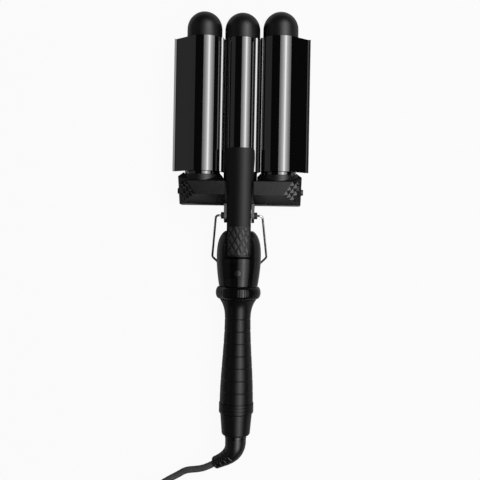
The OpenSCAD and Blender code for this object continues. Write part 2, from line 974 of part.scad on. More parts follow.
// Moulded dome with a plug that sits in the barrel's end
module tip(s) {
    plug_r = barrel_in - seat;
    in_r = plug_r - tip_wall;
    color("#17171a")
        difference() {
            union() {
                rod_s(barrel_r, s, s + tip_straight);
                rod_s(plug_r, s - 8, s + 1);
                translate([0, s + tip_straight, 0]) sphere(r = barrel_r);
            }
            rod_s(in_r, s - 9, s + tip_straight);
            translate([0, s + tip_straight, 0]) sphere(r = in_r);
        }
}

holder_s0 = block_s1 + 16;
holder_len = 70;
plate_half = 1.5;

// Aluminium holder inside a barrel, with a slot for the ceramic plate
module heater_holder() {
    r = barrel_in - seat;
    bar = 1.6;
    color("#b4b6ba")
        along_s(holder_s0, holder_s0 + holder_len) {
            difference() {
                circle(r = r);
                circle(r = r - 1.4);
            }
            for (h = [plate_half + 0.02, -plate_half - 0.02 - bar])
                intersection() {
                    circle(r = r - 0.5);
                    translate([-r, h]) square([2 * r, bar]);
                }
        }
}

module heater_plate() {
    color("#e8e6df")
        box([-8, holder_s0 + 4, -plate_half], [8, holder_s0 + holder_len - 4, plate_half]);
}

module temperature_sensor() {
    color("#b58a3c")
        translate([-pitch + 9.6, 0, 0]) rod_s(1.4, holder_s0 + 20, holder_s0 + 32);
}

module thermal_fuse() {
    color("#d8cfae")
        translate([pitch - 9.6, 0, 0]) rod_s(1.4, holder_s0 + 20, holder_s0 + 34);
}

// ---- moving jaw ----

// Half of the extrusion's section: a cover's arc, its flange and its lip
module wing_section() {
    arc_end = 40;
    // The flange starts a little inside the arc, so that the two are one
    root = arc_end + 2;
    tip_in = [pitch + cover_in * cos(root), cover_in * sin(root)];
    tip_out = [pitch + cover_r * cos(root), cover_r * sin(root)];
    edge_in = tip_in + [flange_out, -flange_drop];
    edge_out = edge_in + [0.9, 1.4];
    intersection() {
        difference() {
            translate([pitch, 0]) circle(r = cover_r);
            translate([pitch, 0]) circle(r = cover_in);
        }
        translate([pitch, 0]) polygon([
            [0, 0], 40 * [cos(arc_end), sin(arc_end)], 40 * [cos(90), sin(90)],
            40 * [cos(135), sin(135)], 40 * [cos(176), sin(176)]
        ]);
    }
    polygon([
        tip_in, edge_in, edge_in + [lip_out, 0.8], edge_in + [lip_out - 0.2, 2.3],
        edge_out, tip_out
    ]);
    // Root between the cover and the centre tube, up to the valley's floor
    polygon([
        [barrel_in, 2], [pitch - cover_r * cos(asin(2 / cover_r)) + 1, 2],
        [pitch - sqrt(pow(cover_r, 2) - pow(valley_h, 2)) + 0.3, valley_h],
        [sqrt(pow(barrel_r, 2) - pow(valley_h, 2)) - 0.3, valley_h]
    ]);
}

module jaw_extrusion() {
    color("#0a0a0b")
        along_s(jaw_s0, jaw_s1) {
            difference() {
                union() {
                    circle(r = barrel_r);
                    wing_section();
                    mirror([1, 0]) wing_section();
                }
                circle(r = barrel_in);
            }
        }
}

foot_low = face_s1 + 1;

// Moulded foot that plugs into the centre tube and is screwed into the lever
module jaw_foot() {
    color("#202022")
        difference() {
            union() {
                rod_s(holder_r, foot_low, jaw_s0);
                rod_s(barrel_in - seat, foot_low, jaw_s0 + 12);
                intersection() {
                    box([-8, block_s0 + 6, hinge_h - 0.3], [8, foot_low + 1, 20]);
                    rod_s(holder_r, 0, big);
                }
            }
            rod_s(barrel_in - 3, foot_low + 3, jaw_s0 + 13);
            lever_screw_holes(screw_r + seat);
        }
}

roof_r = holder_r + seat;
lever_s0 = pivot_s - 37.1;
lever_s1 = jaw_s0 + 20.8;

// Outline of the lever from the front: pad end, straight sides, wider rounded top
module lever_plan(inset) {
    w0 = lever_w / 2 - inset;
    w1 = min(slot_x - 1.4, lever_top_w / 2 - 1.6) - inset;
    w2 = lever_top_w / 2 - inset;
    corner = 3;
    translate([0, 0, -10]) linear_extrude(50)
        polygon([
            [-w0, lever_s0 + inset], [w0, lever_s0 + inset], [w0, block_s0 - 1],
            [w1, face_s0 + 3], [w2, lever_s1 - 9],
            each [for (a = [0 : 15 : 180])
                [(w2 - 0.2 - corner) * (a < 90 ? 1 : -1) + corner * cos(a),
                 lever_s1 - inset - corner * (1 - sin(a))]],
            [-w2, lever_s1 - 9], [-w1, face_s0 + 3], [-w0, block_s0 - 1]
        ]);
}

pad_bottom = crown_r - 4.9;

// Side view of the lever's lower edge, from the pad over the hinge to the centre barrel
module lever_side(inset, knuckle) {
    across_x(-20, 20) {
        polygon([
            [lever_s0 - 1, pad_bottom + inset], [house_s1, hinge_h + 2.6 + inset],
            [pivot_s - 4, hinge_h - 2 + inset], [block_s0 - 3, hinge_h - 2.8 + inset],
            [foot_low - 0.4, hinge_h - 2.8 + inset], [foot_low - 0.4, 0],
            [lever_s1 + 1, 0], [lever_s1 + 1, 30], [lever_s0 - 1, 30]
        ]);
        if (knuckle) translate([pivot_s, hinge_h]) circle(r = 4.3);
    }
}

module lever_solid() {
    intersection() {
        lever_plan(0);
        lever_side(0, true);
        rod_s(crown_r, 0, big);
    }
}

pad_x = lever_w / 2 - 0.9;
pad_s0 = lever_s0 + 0.9;
pad_s1 = pad_s0 + pad_len;
pad_t = 1.3;

module lever_shell() {
    wall = 1.8;
    color("#1a1a1c")
        difference() {
            lever_solid();
            // Hollow under the arm, with solid cheeks at the hinge
            intersection() {
                lever_plan(wall);
                rod_s(roof_r, 0, big);
                across_x(-20, 20) polygon([
                    [block_s0 - 1, 0], [foot_low - 0.3, 0], [foot_low - 0.3, 30],
                    [block_s0 - 1, 30]
                ]);
            }
            // Gap for the spring
            across_x(-5.6, 5.6) {
                translate([pivot_s, hinge_h]) circle(r = 5.1);
                polygon([
                    [pivot_s - 12, 0], [pivot_s + 13, 0],
                    [pivot_s + 13, hinge_h + 2.4], [pivot_s - 5, hinge_h + 2.4],
                    [pivot_s - 12, hinge_h - 1]
                ]);
            }
            rod_x(pin_r + run, -30, 30);
            // The centre tube and the foot's collar
            rod_s(barrel_r + seat, jaw_s0 - part_gap, big);
            rod_s(holder_r + seat, foot_low - 0.5, jaw_s0);
            // Seat of the thumb pad
            pad_pocket(0.05);
            lever_screw_holes(screw_r + seat);
        }
}

module pad_pocket(grow) {
    intersection() {
        box([-pad_x - grow, pad_s0 - grow, 0], [pad_x + grow, pad_s1 + grow, 40]);
        difference() {
            rod_s(crown_r + 5, 0, big);
            rod_s(crown_r - pad_t - grow, 0, big);
        }
    }
}

module thumb_pad() {
    color("#222224")
        intersection() {
            pad_pocket(0);
            rod_s(crown_r + 0.4, 0, big);
        }
}

lever_screw_s = [block_s0 + 9, foot_low - 3.5];

module lever_screw_holes(r) {
    for (s = lever_screw_s)
        translate([0, s, 5]) cylinder(r = r, h = 10.4);
}

module lever_cover() {
    cheek = lever_w / 2 - 1.8 - 0.15;
    color("#1d1d1f")
        difference() {
            box([-cheek, block_s0 - 0.8, hinge_h - 2.8], [cheek, foot_low - 0.5, hinge_h - 0.4]);
            lever_screw_holes(screw_r + 0.2);
            for (s = lever_screw_s)
                translate([0, s, hinge_h - 3.8]) cylinder(r = 2.2, h = 2.5);
        }
}

module lever_screws() {
    color("#3a3a3c")
        for (s = lever_screw_s)
            screw(0, s, hinge_h - 2.8, 7.4, 2);
}

// ---- swivel and cord ----

module swivel_ball() {
    color("#0e0e0f")
        difference() {
            union() {
                translate([0, ball_s, 0]) sphere(r = ball_r);
                // The stem turns in the butt cap and snaps in behind it
                rod_s(stem_r, ball_s, band_s0 + 4.4);
                rod_s(stem_r + 1.6, band_s0 + 2.3, band_s0 + 3.9);
            }
            rod_s(2.6, -20, 30);
            // Seat of the cord sleeve
            rod_s(ball_r + 1, -20, sleeve_s + 0.02);
        }
}

// Routes of the cord: distance across, distance from the butt end, height
exit_route = [
    [0, sleeve_s, 0], [0, -5, 0], [0, -7, 0], [-0.4, -10.5, 0], [-1.5, -13.9, -0.2],
    [-3.3, -17, -0.6], [-5.8, -19.8, -1.3], [-8.6, -22.2, -2.2], [-11.7, -24.3, -3.3],
    [-15.1, -26.3, -4.5], [-18.6, -28.3, -5.8]
];
relief_r = 9.5;
relief_end_r = 5.8;
// Here the height is a share of the drop from the sleeve's end to the surface
hang_route = [
    [-18.6, -28.3, 1.1143], [-22.6, -30.9, 1], [-26.2, -33, 0.88], [-29.9, -34.8, 0.76],
    [-33.5, -36.1, 0.64], [-37.1, -37.1, 0.52], [-40.8, -37.9, 0.41], [-44.4, -38.8, 0.31],
    [-47.3, -39.9, 0.22], [-50, -41.4, 0.14], [-54, -44.1, 0.05], [-57.6, -46.2, 0], [-61, -48.1, 0],
    [-65.5, -50.8, 0], [-70, -53.7, 0], [-74.4, -57, 0], [-78.6, -60.4, 0],
    [-82.4, -63.6, 0], [-85.7, -66.8, 0]
];
cord_r = cord_d / 2;
tie_t = 0.7;
tie_w = 12;
// The coil stands on its tie, flattened a little
coil_low = tie_t + 0.4 * cord_d;

function sleeve_point(p) = [p.x, p.y, p.z + axis_h];
function hang_point(p) = [
    p.x, p.y, cord_r + p.z * (axis_h - 7 - cord_r) + (p.y < -66 ? coil_low - cord_r : 0)
];

module on_surface() {
    translate([0, 0, -axis_h]) children();
}

// A point of a route between its own points, on a smooth curve through them
function spline(p, u) =
    let (
        n = len(p), i = min(floor(u), n - 2), t = u - i,
        a = p[max(i - 1, 0)], b = p[i], c = p[i + 1], d = p[min(i + 2, n - 1)]
    )
    b + 0.5 * t * (c - a + t * (2 * a - 5 * b + 4 * c - d + t * (3 * (b - c) + d - a)));

// Moulded elbow sleeve: straight out of the ball, then tapered towards the cord, with shallow
// ribs in its last half
module strain_relief() {
    steps = 30;
    taper_from = 5;
    ribs_from = 16;
    last = len(exit_route) - 1;
    route = [for (i = [0 : steps]) sleeve_point(spline(exit_route, i * last / steps))];
    radii = [for (i = [0 : steps])
        relief_r - (relief_r - relief_end_r) * smooth(max(0, i - taper_from) / (steps - taper_from))
            - ((i > ribs_from && i < steps - 2 && i % 2 == 0) ? 0.4 : 0)];
    color("#1a1a1b") on_surface() tube(route, radii, 16);
}

module mains_cord() {
    route = [for (p = hang_route) hang_point(p)];
    color("#4a4a4c") on_surface() tube(route, [for (p = route) cord_r], 8);
}

// The coil is one unbroken tube: in, out, in and out again, a layer higher at each turning back
coil_centre = [-61, -100];
coil_mid = 31;
coil_layers = 4;
coil_start = 135;
coil_end = 270;
climb = 180;
coil_step = 15;
turn_pitch = cord_d + 1.4;
layer_h = cord_d + 1;
full_sweep = 12 * 360 + coil_end - coil_start;
layer_sweep = (full_sweep - (coil_layers - 1) * climb) / coil_layers;
layer_width = layer_sweep / 360 * turn_pitch;
coil_out = coil_mid + layer_width / 2;

function layer_of(a) = min(coil_layers - 1, floor(a / (layer_sweep + climb)));
function within(a) = a - layer_of(a) * (layer_sweep + climb);
function coil_radius(a) =
    let (w = min(within(a), layer_sweep) / 360 * turn_pitch)
    layer_of(a) % 2 == 0 ? coil_out - w : coil_out - layer_width + w;
function coil_height(a) =
    coil_low + layer_h * (layer_of(a) + max(0, within(a) - layer_sweep) / climb);
function coil_point(a) = [
    coil_centre.x + coil_radius(a) * cos(coil_start + a),
    coil_centre.y + coil_radius(a) * sin(coil_start + a),
    coil_height(a)
];
function ahead(angle) = [-sin(angle), cos(angle), 0];

wound = [for (i = [0 : full_sweep / coil_step]) coil_point(i * coil_step)];
wound_last = len(wound) - 1;
coil_route = concat(
    [wound[0] - cord_d * ahead(coil_start)], wound,
    [wound[wound_last] + cord_d * ahead(coil_end)]
);
per_turn = 360 / coil_step;
coil_gap = min([
    for (i = [0 : wound_last - per_turn]) for (j = [i + per_turn : per_turn : wound_last])
        norm(wound[j] - wound[i])
]) - cord_d;
echo("smallest gap between turns of the coil", coil_gap);

module cord_coil() {
    color("#4a4a4c") on_surface() difference() {
        tube(coil_route, [for (p = coil_route) cord_r], 6);
        box([-150, -200, -5], [50, -20, tie_t]);
    }
}

// Strap around the bundle, closed over itself on top
module coil_tie() {
    low = coil_out - layer_width - cord_r - 1.5;
    wide = layer_width + cord_d + 1.9;
    tall = (coil_layers - 1) * layer_h + cord_d + 0.3 - 0.1 * cord_d;
    color("#151516") on_surface()
        translate([coil_centre.x, coil_centre.y, 0]) rotate([0, 0, 20])
            translate([low, tie_w / 2, 0]) rotate([90, 0, 0]) linear_extrude(tie_w) {
                difference() {
                    rounded([-tie_t, 0], [wide + tie_t, tall + 2 * tie_t], cord_r + tie_t);
                    rounded([0, tie_t], [wide, tall + tie_t], cord_r);
                }
                translate([4, tall + 2 * tie_t]) square([wide - 6, 0.9]);
            }
}

// Rectangle from its lowest to its highest corner, with round corners
module rounded(low, high, r) {
    translate([low.x + r, low.y]) square([high.x - low.x - 2 * r, high.y - low.y]);
    translate([low.x, low.y + r]) square([high.x - low.x, high.y - low.y - 2 * r]);
    for (x = [low.x + r, high.x - r], y = [low.y + r, high.y - r])
        translate([x, y]) circle(r = r);
}

// The tail runs from the coil's top turn down to the plug, which lies beside the coil
tail_y = coil_centre.y - coil_out;
tail_x0 = coil_centre.x + cord_d;
tail_x1 = 0;
plug_t = 17;
plug_w = 25;
plug_x = 10;
plug_len = 32;
tail_top = coil_low + (coil_layers - 1) * layer_h;

module cord_tail() {
    route = concat(
        [[tail_x0, tail_y, tail_top]],
        [for (i = [0 : 10]) let (t = i / 10)
            [tail_x0 + 5 + (tail_x1 - tail_x0 - 5) * t, tail_y,
             tail_top + (plug_t / 2 - tail_top) * smooth(t)]],
        [[tail_x1 + 4, tail_y, plug_t / 2]]
    );
    color("#4a4a4c") on_surface() tube(route, [for (p = route) cord_r], 8);
}

module plug_body() {
    color("#1a1a1b") on_surface() translate([0, tail_y, plug_t / 2]) difference() {
        union() {
            rotate([0, 90, 0]) translate([0, 0, plug_x - 10])
                cylinder(r1 = cord_r + 1, r2 = 6.5, h = 14);
            intersection() {
                translate([plug_x, -plug_w / 2, -plug_t / 2]) cube([plug_len, plug_w, plug_t]);
                translate([plug_x + 18, 0, 0]) sphere(r = 20);
            }
        }
        rotate([0, 90, 0]) translate([0, 0, plug_x - 11]) cylinder(r = cord_r + 0.02, h = 5);
        // Seats of the blades
        for (y = [-6.35, 6.35])
            translate([plug_x + plug_len - 8, y - 0.8, -3.25]) cube([10, 1.6, 6.5]);
    }
}

module plug_blades() {
    color("#c8b070") on_surface() translate([0, tail_y, plug_t / 2])
        for (y = [-6.35, 6.35]) difference() {
            translate([plug_x + plug_len - 8, y - 0.75, -3.2]) cube([24, 1.5, 6.4]);
            translate([plug_x + plug_len + 12, y, 0]) rotate([90, 0, 0])
                cylinder(r = 1.5, h = 4, center = true);
        }
}

// ---- assembly ----

module place() {
    translate([0, -tool_mid, axis_h]) children();
}

module at_x(x) {
    translate([x, 0, 0]) children();
}

place() grip_front();
place() grip_rear();
place() grip_band();
place() butt_cap();
place() spine();
place() power_board();
place() temperature_dial();
place() housing_front();
place() housing_rear();
place() control_panel();
place() power_button();
place() display_module();
place() control_board();
place() neck_tube();
place() hinge_bracket();
place() hinge_pin();
place() hinge_bosses();
place() lever_spring();
place() wire_stand();
place() block_front();
place() block_rear();
place() side_screws();
place() block_screws();
place() bracket_screws();
place() housing_screws();
place() grip_screws();
place() at_x(-pitch) collar();  // collar_left
place() at_x(pitch) collar();  // collar_right
place() at_x(-pitch) barrel();  // barrel_left
place() at_x(pitch) barrel();  // barrel_right
place() at_x(-pitch) tip(barrel_s1);  // tip_left
place() at_x(pitch) tip(barrel_s1);  // tip_right
place() at_x(-pitch) heater_holder();  // heater_holder_left
place() at_x(pitch) heater_holder();  // heater_holder_right
place() at_x(-pitch) heater_plate();  // heater_plate_left
place() at_x(pitch) heater_plate();  // heater_plate_right
place() temperature_sensor();
place() thermal_fuse();
place() lever_shell();
place() lever_cover();
place() thumb_pad();
place() lever_screws();
place() jaw_foot();
place() jaw_extrusion();
place() tip(jaw_s1);  // tip_centre
place() heater_holder();  // heater_holder_centre
place() heater_plate();  // heater_plate_centre
place() swivel_ball();
place() strain_relief();
place() mains_cord();
place() cord_coil();
place() coil_tie();
place() cord_tail();
place() plug_body();
place() plug_blades();
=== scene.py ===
"""Hair waver with three barrels, lying on its back on a pale table, seen from straight above."""

import math

import bmesh
import bpy
from mathutils import Matrix, Vector


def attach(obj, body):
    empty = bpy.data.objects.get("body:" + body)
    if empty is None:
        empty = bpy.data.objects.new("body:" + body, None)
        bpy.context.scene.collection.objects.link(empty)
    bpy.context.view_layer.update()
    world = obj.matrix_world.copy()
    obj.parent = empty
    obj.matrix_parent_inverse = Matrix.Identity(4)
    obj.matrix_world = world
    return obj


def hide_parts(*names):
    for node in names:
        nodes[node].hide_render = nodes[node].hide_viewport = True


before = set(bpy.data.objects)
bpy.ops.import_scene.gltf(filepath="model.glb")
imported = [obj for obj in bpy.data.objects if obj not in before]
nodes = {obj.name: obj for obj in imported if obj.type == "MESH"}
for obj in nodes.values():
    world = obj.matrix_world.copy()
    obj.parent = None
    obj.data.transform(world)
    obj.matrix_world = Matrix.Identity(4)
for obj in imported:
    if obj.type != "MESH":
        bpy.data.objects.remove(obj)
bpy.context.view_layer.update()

# ---- Camera ----
# The photograph looks straight down on the tool from about 60 cm. The tool lies turned by one
# degree in the picture and rolled by two degrees about its own length.
# The tool's axis above the table, and the frame's origin from the butt end, in millimetres
AXIS_HEIGHT = 20.5
MID = 191.4
PICTURE_TURN = 1.03
PICTURE_ROLL = 2
CAMERA_AWAY = 0.6
CAMERA_OVER = (0.8, 177.8)


def at(across, along, height):
    """A point in millimetres: across the tool, from the butt end, and above its axis."""
    return Vector((across, along - MID, height + AXIS_HEIGHT)) / 1000


view_turn = (
    Matrix.Rotation(math.radians(PICTURE_TURN), 3, "Z")
    @ Matrix.Rotation(math.radians(PICTURE_ROLL), 3, "Y")
)
lens = bpy.data.cameras.new("camera")
lens.sensor_width = 36
lens.lens = 49.2
lens.clip_end = 20
camera = bpy.data.objects.new("camera", lens)
bpy.context.collection.objects.link(camera)
camera.rotation_euler = view_turn.to_euler()
camera.location = at(*CAMERA_OVER, 0) + view_turn @ Vector((0, 0, CAMERA_AWAY))
bpy.context.scene.camera = camera


# ---- Mains cord ----
# Round rubber lead of 6 mm. It leaves the bent sleeve, comes down to the table and is put away in
# a round coil of four layers, with its plug beside it.
class Value:
    """A socket of a material, for sums on it."""

    def __init__(self, finish, socket):
        self.finish = finish
        self.socket = socket

    def worked(self, operation, *terms):
        return self.finish.node("Math", {"operation": operation}, *terms)

    def __add__(self, other):
        return self.worked("ADD", self, other)

    __radd__ = __add__

    def __mul__(self, other):
        return self.worked("MULTIPLY", self, other)

    __rmul__ = __mul__

    def __sub__(self, other):
        return self.worked("SUBTRACT", self, other)

    def __rsub__(self, other):
        return self.worked("SUBTRACT", other, self)

    def __lt__(self, other):
        return self.worked("LESS_THAN", self, other)

    def __abs__(self):
        return self.worked("ABSOLUTE", self)


class Finish:
    """A material in the making. node() adds a node and gives its first output."""

    def __init__(self, name):
        self.material = bpy.data.materials.new(name)
        self.material.use_nodes = True
        self.tree = self.material.node_tree
        self.tree.nodes.clear()

    def node(self, kind, settings, *values, **named):
        made = self.tree.nodes.new("ShaderNode" + kind)
        for key, value in settings.items():
            setattr(made, key, value)
        given = [(made.inputs[i], value) for i, value in enumerate(values)]
        given += [(made.inputs[key.replace("_", " ")], value) for key, value in named.items()]
        for socket, value in given:
            if isinstance(value, Value):
                self.tree.links.new(value.socket, socket)
            elif value is not None:
                socket.default_value = value
        self.last = made
        return Value(self, made.outputs[0]) if made.outputs else None

    def other(self, name):
        """Another output of the last node."""
        return Value(self, self.last.outputs[name])

    def place(self):
        self.node("TexCoord", {})
        return self.other("Object")

    def noise(self, scale, detail=3, stretch=(1, 1, 1)):
        grain = self.node("Mapping", {}, self.place(), Scale=stretch)
        return self.node("TexNoise", {}, grain, Scale=scale, Detail=detail)

    def away_from(self, centre, ways):
        """Distance from a line through a point. ways is 1 in the directions across the line."""
        apart = self.node("VectorMath", {"operation": "SUBTRACT"}, self.place(), centre)
        level = self.node("VectorMath", {"operation": "MULTIPLY"}, apart, ways)
        self.node("VectorMath", {"operation": "LENGTH"}, level)
        return self.other("Value")

    def between(self, amount, dark, light):
        """A colour between two, by an amount from 0 to 1."""
        self.node("Mix", {"data_type": "RGBA"})
        for socket, value in ((0, amount), (6, dark), (7, light)):
            if isinstance(value, Value):
                self.tree.links.new(value.socket, self.last.inputs[socket])
            else:
                self.last.inputs[socket].default_value = (*value, 1) if socket else value
        return Value(self, self.last.outputs[2])

    def spread(self, amount, low, high, start=0.3, end=0.7):
        """An amount from start to end, spread from low to high."""
        return self.node("MapRange", {}, amount, start, end, low, high)

    def bumps(self, height, strength, distance):
        return self.node("Bump", {}, Strength=strength, Distance=distance, Height=height)

    def done(self, **sockets):
        shader = self.node("BsdfPrincipled", {}, **sockets)
        self.node("OutputMaterial", {}, shader)
        return self.material


def coat(finish_made, *names):
    """Give CAD nodes this finish."""
    for name in names:
        node = nodes[name]
        if not node.data.materials:
            node.data.materials.append(finish_made)
        for i in range(len(node.data.materials)):
            node.data.materials[i] = finish_made


def smooth_step(t):
    return t * t * (3 - 2 * t)


def on_table(across, along, height):
    """A point in millimetres, with its height above the table."""
    return Vector((across, along - MID, height)) / 1000


def through(points, per_span):
    """Points on a smooth curve through the given ones."""
    found = []
    for i in range(len(points) - 1):
        before = points[max(i - 1, 0)]
        a, b = points[i], points[i + 1]
        after = points[min(i + 2, len(points) - 1)]
        for k in range(per_span):
            t = k / per_span
            found.append(
                a
                + 0.5 * t * (b - before)
                + 0.5 * t * t * (2 * before - 5 * a + 4 * b - after)
                + 0.5 * t ** 3 * (3 * (a - b) + after - before)
            )
    found.append(points[-1].copy())
    return found


def made_of(body, name):
    """Make a piece of a bmesh, with its faces outwards."""
    bmesh.ops.recalc_face_normals(body, faces=body.faces)
    mesh = bpy.data.meshes.new(name)
    body.to_mesh(mesh)
    body.free()
    piece = bpy.data.objects.new(name, mesh)
    bpy.context.collection.objects.link(piece)
    return piece


def swept(name, path, radii, sides):
    """A round tube along a path, closed at both ends, with V of its UV map in centimetres."""
    body = bmesh.new()
    wrap = body.loops.layers.uv.new("UVMap")
    rings = []
    for i, point in enumerate(path):
        ahead = (path[min(i + 1, len(path) - 1)] - path[max(i - 1, 0)]).normalized()
        beside = Vector((0, 0, 1)).cross(ahead).normalized()
        above = ahead.cross(beside)
        rings.append([
            body.verts.new(
                point + radii[i] * (
                    math.cos(2 * math.pi * k / sides) * beside
                    + math.sin(2 * math.pi * k / sides) * above
                )
            )
            for k in range(sides)
        ])
    run = 0
    for i in range(len(rings) - 1):
        step = (path[i + 1] - path[i]).length
        for k in range(sides):
            face = body.faces.new((
                rings[i][k], rings[i][(k + 1) % sides],
                rings[i + 1][(k + 1) % sides], rings[i + 1][k],
            ))
            face.smooth = True
            corners = ((k, run), (k + 1, run), (k + 1, run + step), (k, run + step))
            for loop, (around, along) in zip(face.loops, corners):
                loop[wrap].uv = (around / sides, along * 100)
        run += step
    body.faces.new(list(reversed(rings[0])))
    body.faces.new(rings[-1])
    return made_of(body, name)


CORD = 0.006
HANG_DROP = 10.5
sleeve_route = [
    (0, -3, 0), (0, -5, 0), (0, -7, 0), (-0.4, -10.5, 0), (-1.5, -13.9, -0.2),
    (-3.3, -17, -0.6), (-5.8, -19.8, -1.3), (-8.6, -22.2, -2.2), (-11.7, -24.3, -3.3),
    (-15.1, -26.3, -4.5), (-18.6, -28.3, -5.8),
]
# Here the height is a share of the drop to the table
hang_route = [
    (-22.6, -30.9, 1), (-26.2, -33, 0.88), (-29.9, -34.8, 0.76), (-33.5, -36.1, 0.64),
    (-37.1, -37.1, 0.52), (-40.8, -37.9, 0.41), (-44.4, -38.8, 0.31), (-47.3, -39.9, 0.22),
    (-50, -41.4, 0.14), (-54, -44.1, 0.05), (-57.6, -46.2, 0), (-61, -48.1, 0),
    (-65.5, -50.8, 0), (-70, -53.7, 0), (-74.4, -57, 0), (-78.6, -60.4, 0),
    (-82.4, -63.6, 0), (-85.7, -66.8, 0),
]
CORD_LIFT = 3
COIL_LOW = 3.1
COIL_AT = (-61, -100)
COIL_START = 135
COIL_END = 270
COIL_LAYERS = 4
CLIMB = 180
TURN_PITCH = 7.4
LAYER_STEP = 7
COIL_MIDDLE = 31
FULL_SWEEP = 12 * 360 + COIL_END - COIL_START
LAYER_SWEEP = (FULL_SWEEP - (COIL_LAYERS - 1) * CLIMB) / COIL_LAYERS
LAYER_WIDTH = LAYER_SWEEP / 360 * TURN_PITCH
COIL_OUT = COIL_MIDDLE + LAYER_WIDTH / 2
PLUG_HEIGHT = 8.5
TAIL_ALONG = COIL_AT[1] - COIL_OUT
TAIL_TOP = COIL_LOW + (COIL_LAYERS - 1) * LAYER_STEP


def coil_point(turned):
    layer = min(COIL_LAYERS - 1, int(turned // (LAYER_SWEEP + CLIMB)))
    within = turned - layer * (LAYER_SWEEP + CLIMB)
    step = min(within, LAYER_SWEEP) / 360 * TURN_PITCH
    radius = COIL_OUT - step if layer % 2 == 0 else COIL_OUT - LAYER_WIDTH + step
    height = COIL_LOW + LAYER_STEP * (layer + max(0, within - LAYER_SWEEP) / CLIMB)
    angle = math.radians(COIL_START + turned)
    return on_table(
        COIL_AT[0] + radius * math.cos(angle), COIL_AT[1] + radius * math.sin(angle), height
    )


in_sleeve = [at(*point) for point in sleeve_route]
hanging = [on_table(x, s, CORD_LIFT + share * HANG_DROP) for x, s, share in hang_route[:-1]]
hanging.append(on_table(*hang_route[-1][:2], COIL_LOW))
coiled = [coil_point(turned) for turned in range(0, FULL_SWEEP + 1, 9)]
tail = [on_table(COIL_AT[0] + 6, TAIL_ALONG, TAIL_TOP)] + [
    on_table(
        -50 + 5 * i, TAIL_ALONG, TAIL_TOP + (PLUG_HEIGHT - TAIL_TOP) * smooth_step(i / 10)
    )
    for i in range(11)
] + [on_table(4, TAIL_ALONG, PLUG_HEIGHT)]
cord_path = (
    through(in_sleeve[3:] + hanging, 3)[:-1]
    + through([hanging[-1], coiled[0]], 2)[:-1]
    + coiled[:-1]
    + through([coiled[-1], tail[0]], 2)[:-1]
    + through(tail, 2)
)
cord_length = sum((b - a).length for a, b in zip(cord_path, cord_path[1:]))

cord = swept("mains_lead", cord_path, [CORD / 2] * len(cord_path), 16)
rubber = Finish("cord jacket")
mottle = rubber.noise(900, 2)
rubber_wear = rubber.noise(60, 3)
cord.data.materials.append(rubber.done(
    Base_Color=rubber.between(rubber_wear, (0.050, 0.050, 0.052), (0.072, 0.072, 0.075)),
    Roughness=rubber.spread(mottle, 0.46, 0.58),
    Normal=rubber.bumps(mottle, 0.25, 0.0002),
))
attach(cord, "cord")
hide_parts("mains_cord", "cord_coil", "cord_tail")


# ---- Cord sleeve ----
# Moulded rubber elbow that keeps the cord from kinking. It comes out of the swivel ball, bends
# towards the table, and has rows of slots in its outer half and a thick lip at its end.
SLEEVE_R = 9.5
SLEEVE_END_R = 5.8
SLEEVE_SIDES = 72
# Shares of the sleeve's length
TAPER_FROM = 0.17
SLOTS_FROM = 0.54
SLOT_PITCH = 0.062
SLOT_ROWS = 6
SLOTS_AROUND = 6
SLOT_LONG = 0.66
SLOT_DEPTH = 0.065
LIP_GROOVE = (0.925, 0.945)
sleeve_path = through(in_sleeve, 14)
sleeve_radii = []
for i in range(len(sleeve_path)):
    share = i / (len(sleeve_path) - 1)
    radius = SLEEVE_R - (SLEEVE_R - SLEEVE_END_R) * smooth_step(
        max(0, share - TAPER_FROM) / (1 - TAPER_FROM)
    )
    if LIP_GROOVE[0] < share < LIP_GROOVE[1]:
        radius -= 0.35
    if share < 0.02 or share > 0.985:
        radius -= 0.3
    sleeve_radii.append(radius / 1000)
sleeve = swept("cord_sleeve", sleeve_path, sleeve_radii, SLEEVE_SIDES)
# The slots lie in six rows, each turned half a slot against the one before
for i in range(len(sleeve_path)):
    share = i / (len(sleeve_path) - 1)
    row = (share - SLOTS_FROM) / SLOT_PITCH
    if not 0 <= row < SLOT_ROWS or row % 1 > 0.5:
        continue
    for k in range(SLEEVE_SIDES):
        around = (k / SLEEVE_SIDES * SLOTS_AROUND + (0.5 if int(row) % 2 else 0)) % 1
        if around < SLOT_LONG:
            vertex = sleeve.data.vertices[i * SLEEVE_SIDES + k]
            vertex.co = vertex.co.lerp(sleeve_path[i], SLOT_DEPTH)
sleeve_rubber = Finish("sleeve rubber")
sleeve_grain = sleeve_rubber.noise(1400, 2)
sleeve.data.materials.append(sleeve_rubber.done(
    Base_Color=sleeve_rubber.between(
        sleeve_rubber.noise(90, 3), (0.0024, 0.0024, 0.0026), (0.0045, 0.0045, 0.0048)
    ),
    Roughness=sleeve_rubber.spread(sleeve_grain, 0.28, 0.36),
    Normal=sleeve_rubber.bumps(sleeve_grain, 0.15, 0.0001),
))
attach(sleeve, "cord")
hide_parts("strain_relief")


# ---- Swivel ball ----
# Glossy nylon ball that turns in the butt cap, so that the cord doesn't twist. It is moulded in one
# piece with a hollow stem, which goes through the cap and lets the leads in.
def only(piece):
    bpy.ops.object.select_all(action="DESELECT")
    piece.select_set(True)
    bpy.context.view_layer.objects.active = piece


def tidied(piece, angle=25):
    """Merge doubles, turn all faces outwards, and shade what is round as round."""
    only(piece)
    bpy.ops.object.mode_set(mode="EDIT")
    bpy.ops.mesh.select_all(action="SELECT")
    bpy.ops.mesh.remove_doubles(threshold=1e-6)
    bpy.ops.mesh.normals_make_consistent(inside=False)
    bpy.ops.object.mode_set(mode="OBJECT")
    bpy.ops.object.shade_smooth_by_angle(angle=math.radians(angle))
    return piece


TURNS = {"X": (0, math.pi / 2, 0), "Y": (math.pi / 2, 0, 0), "Z": (0, 0, 0)}


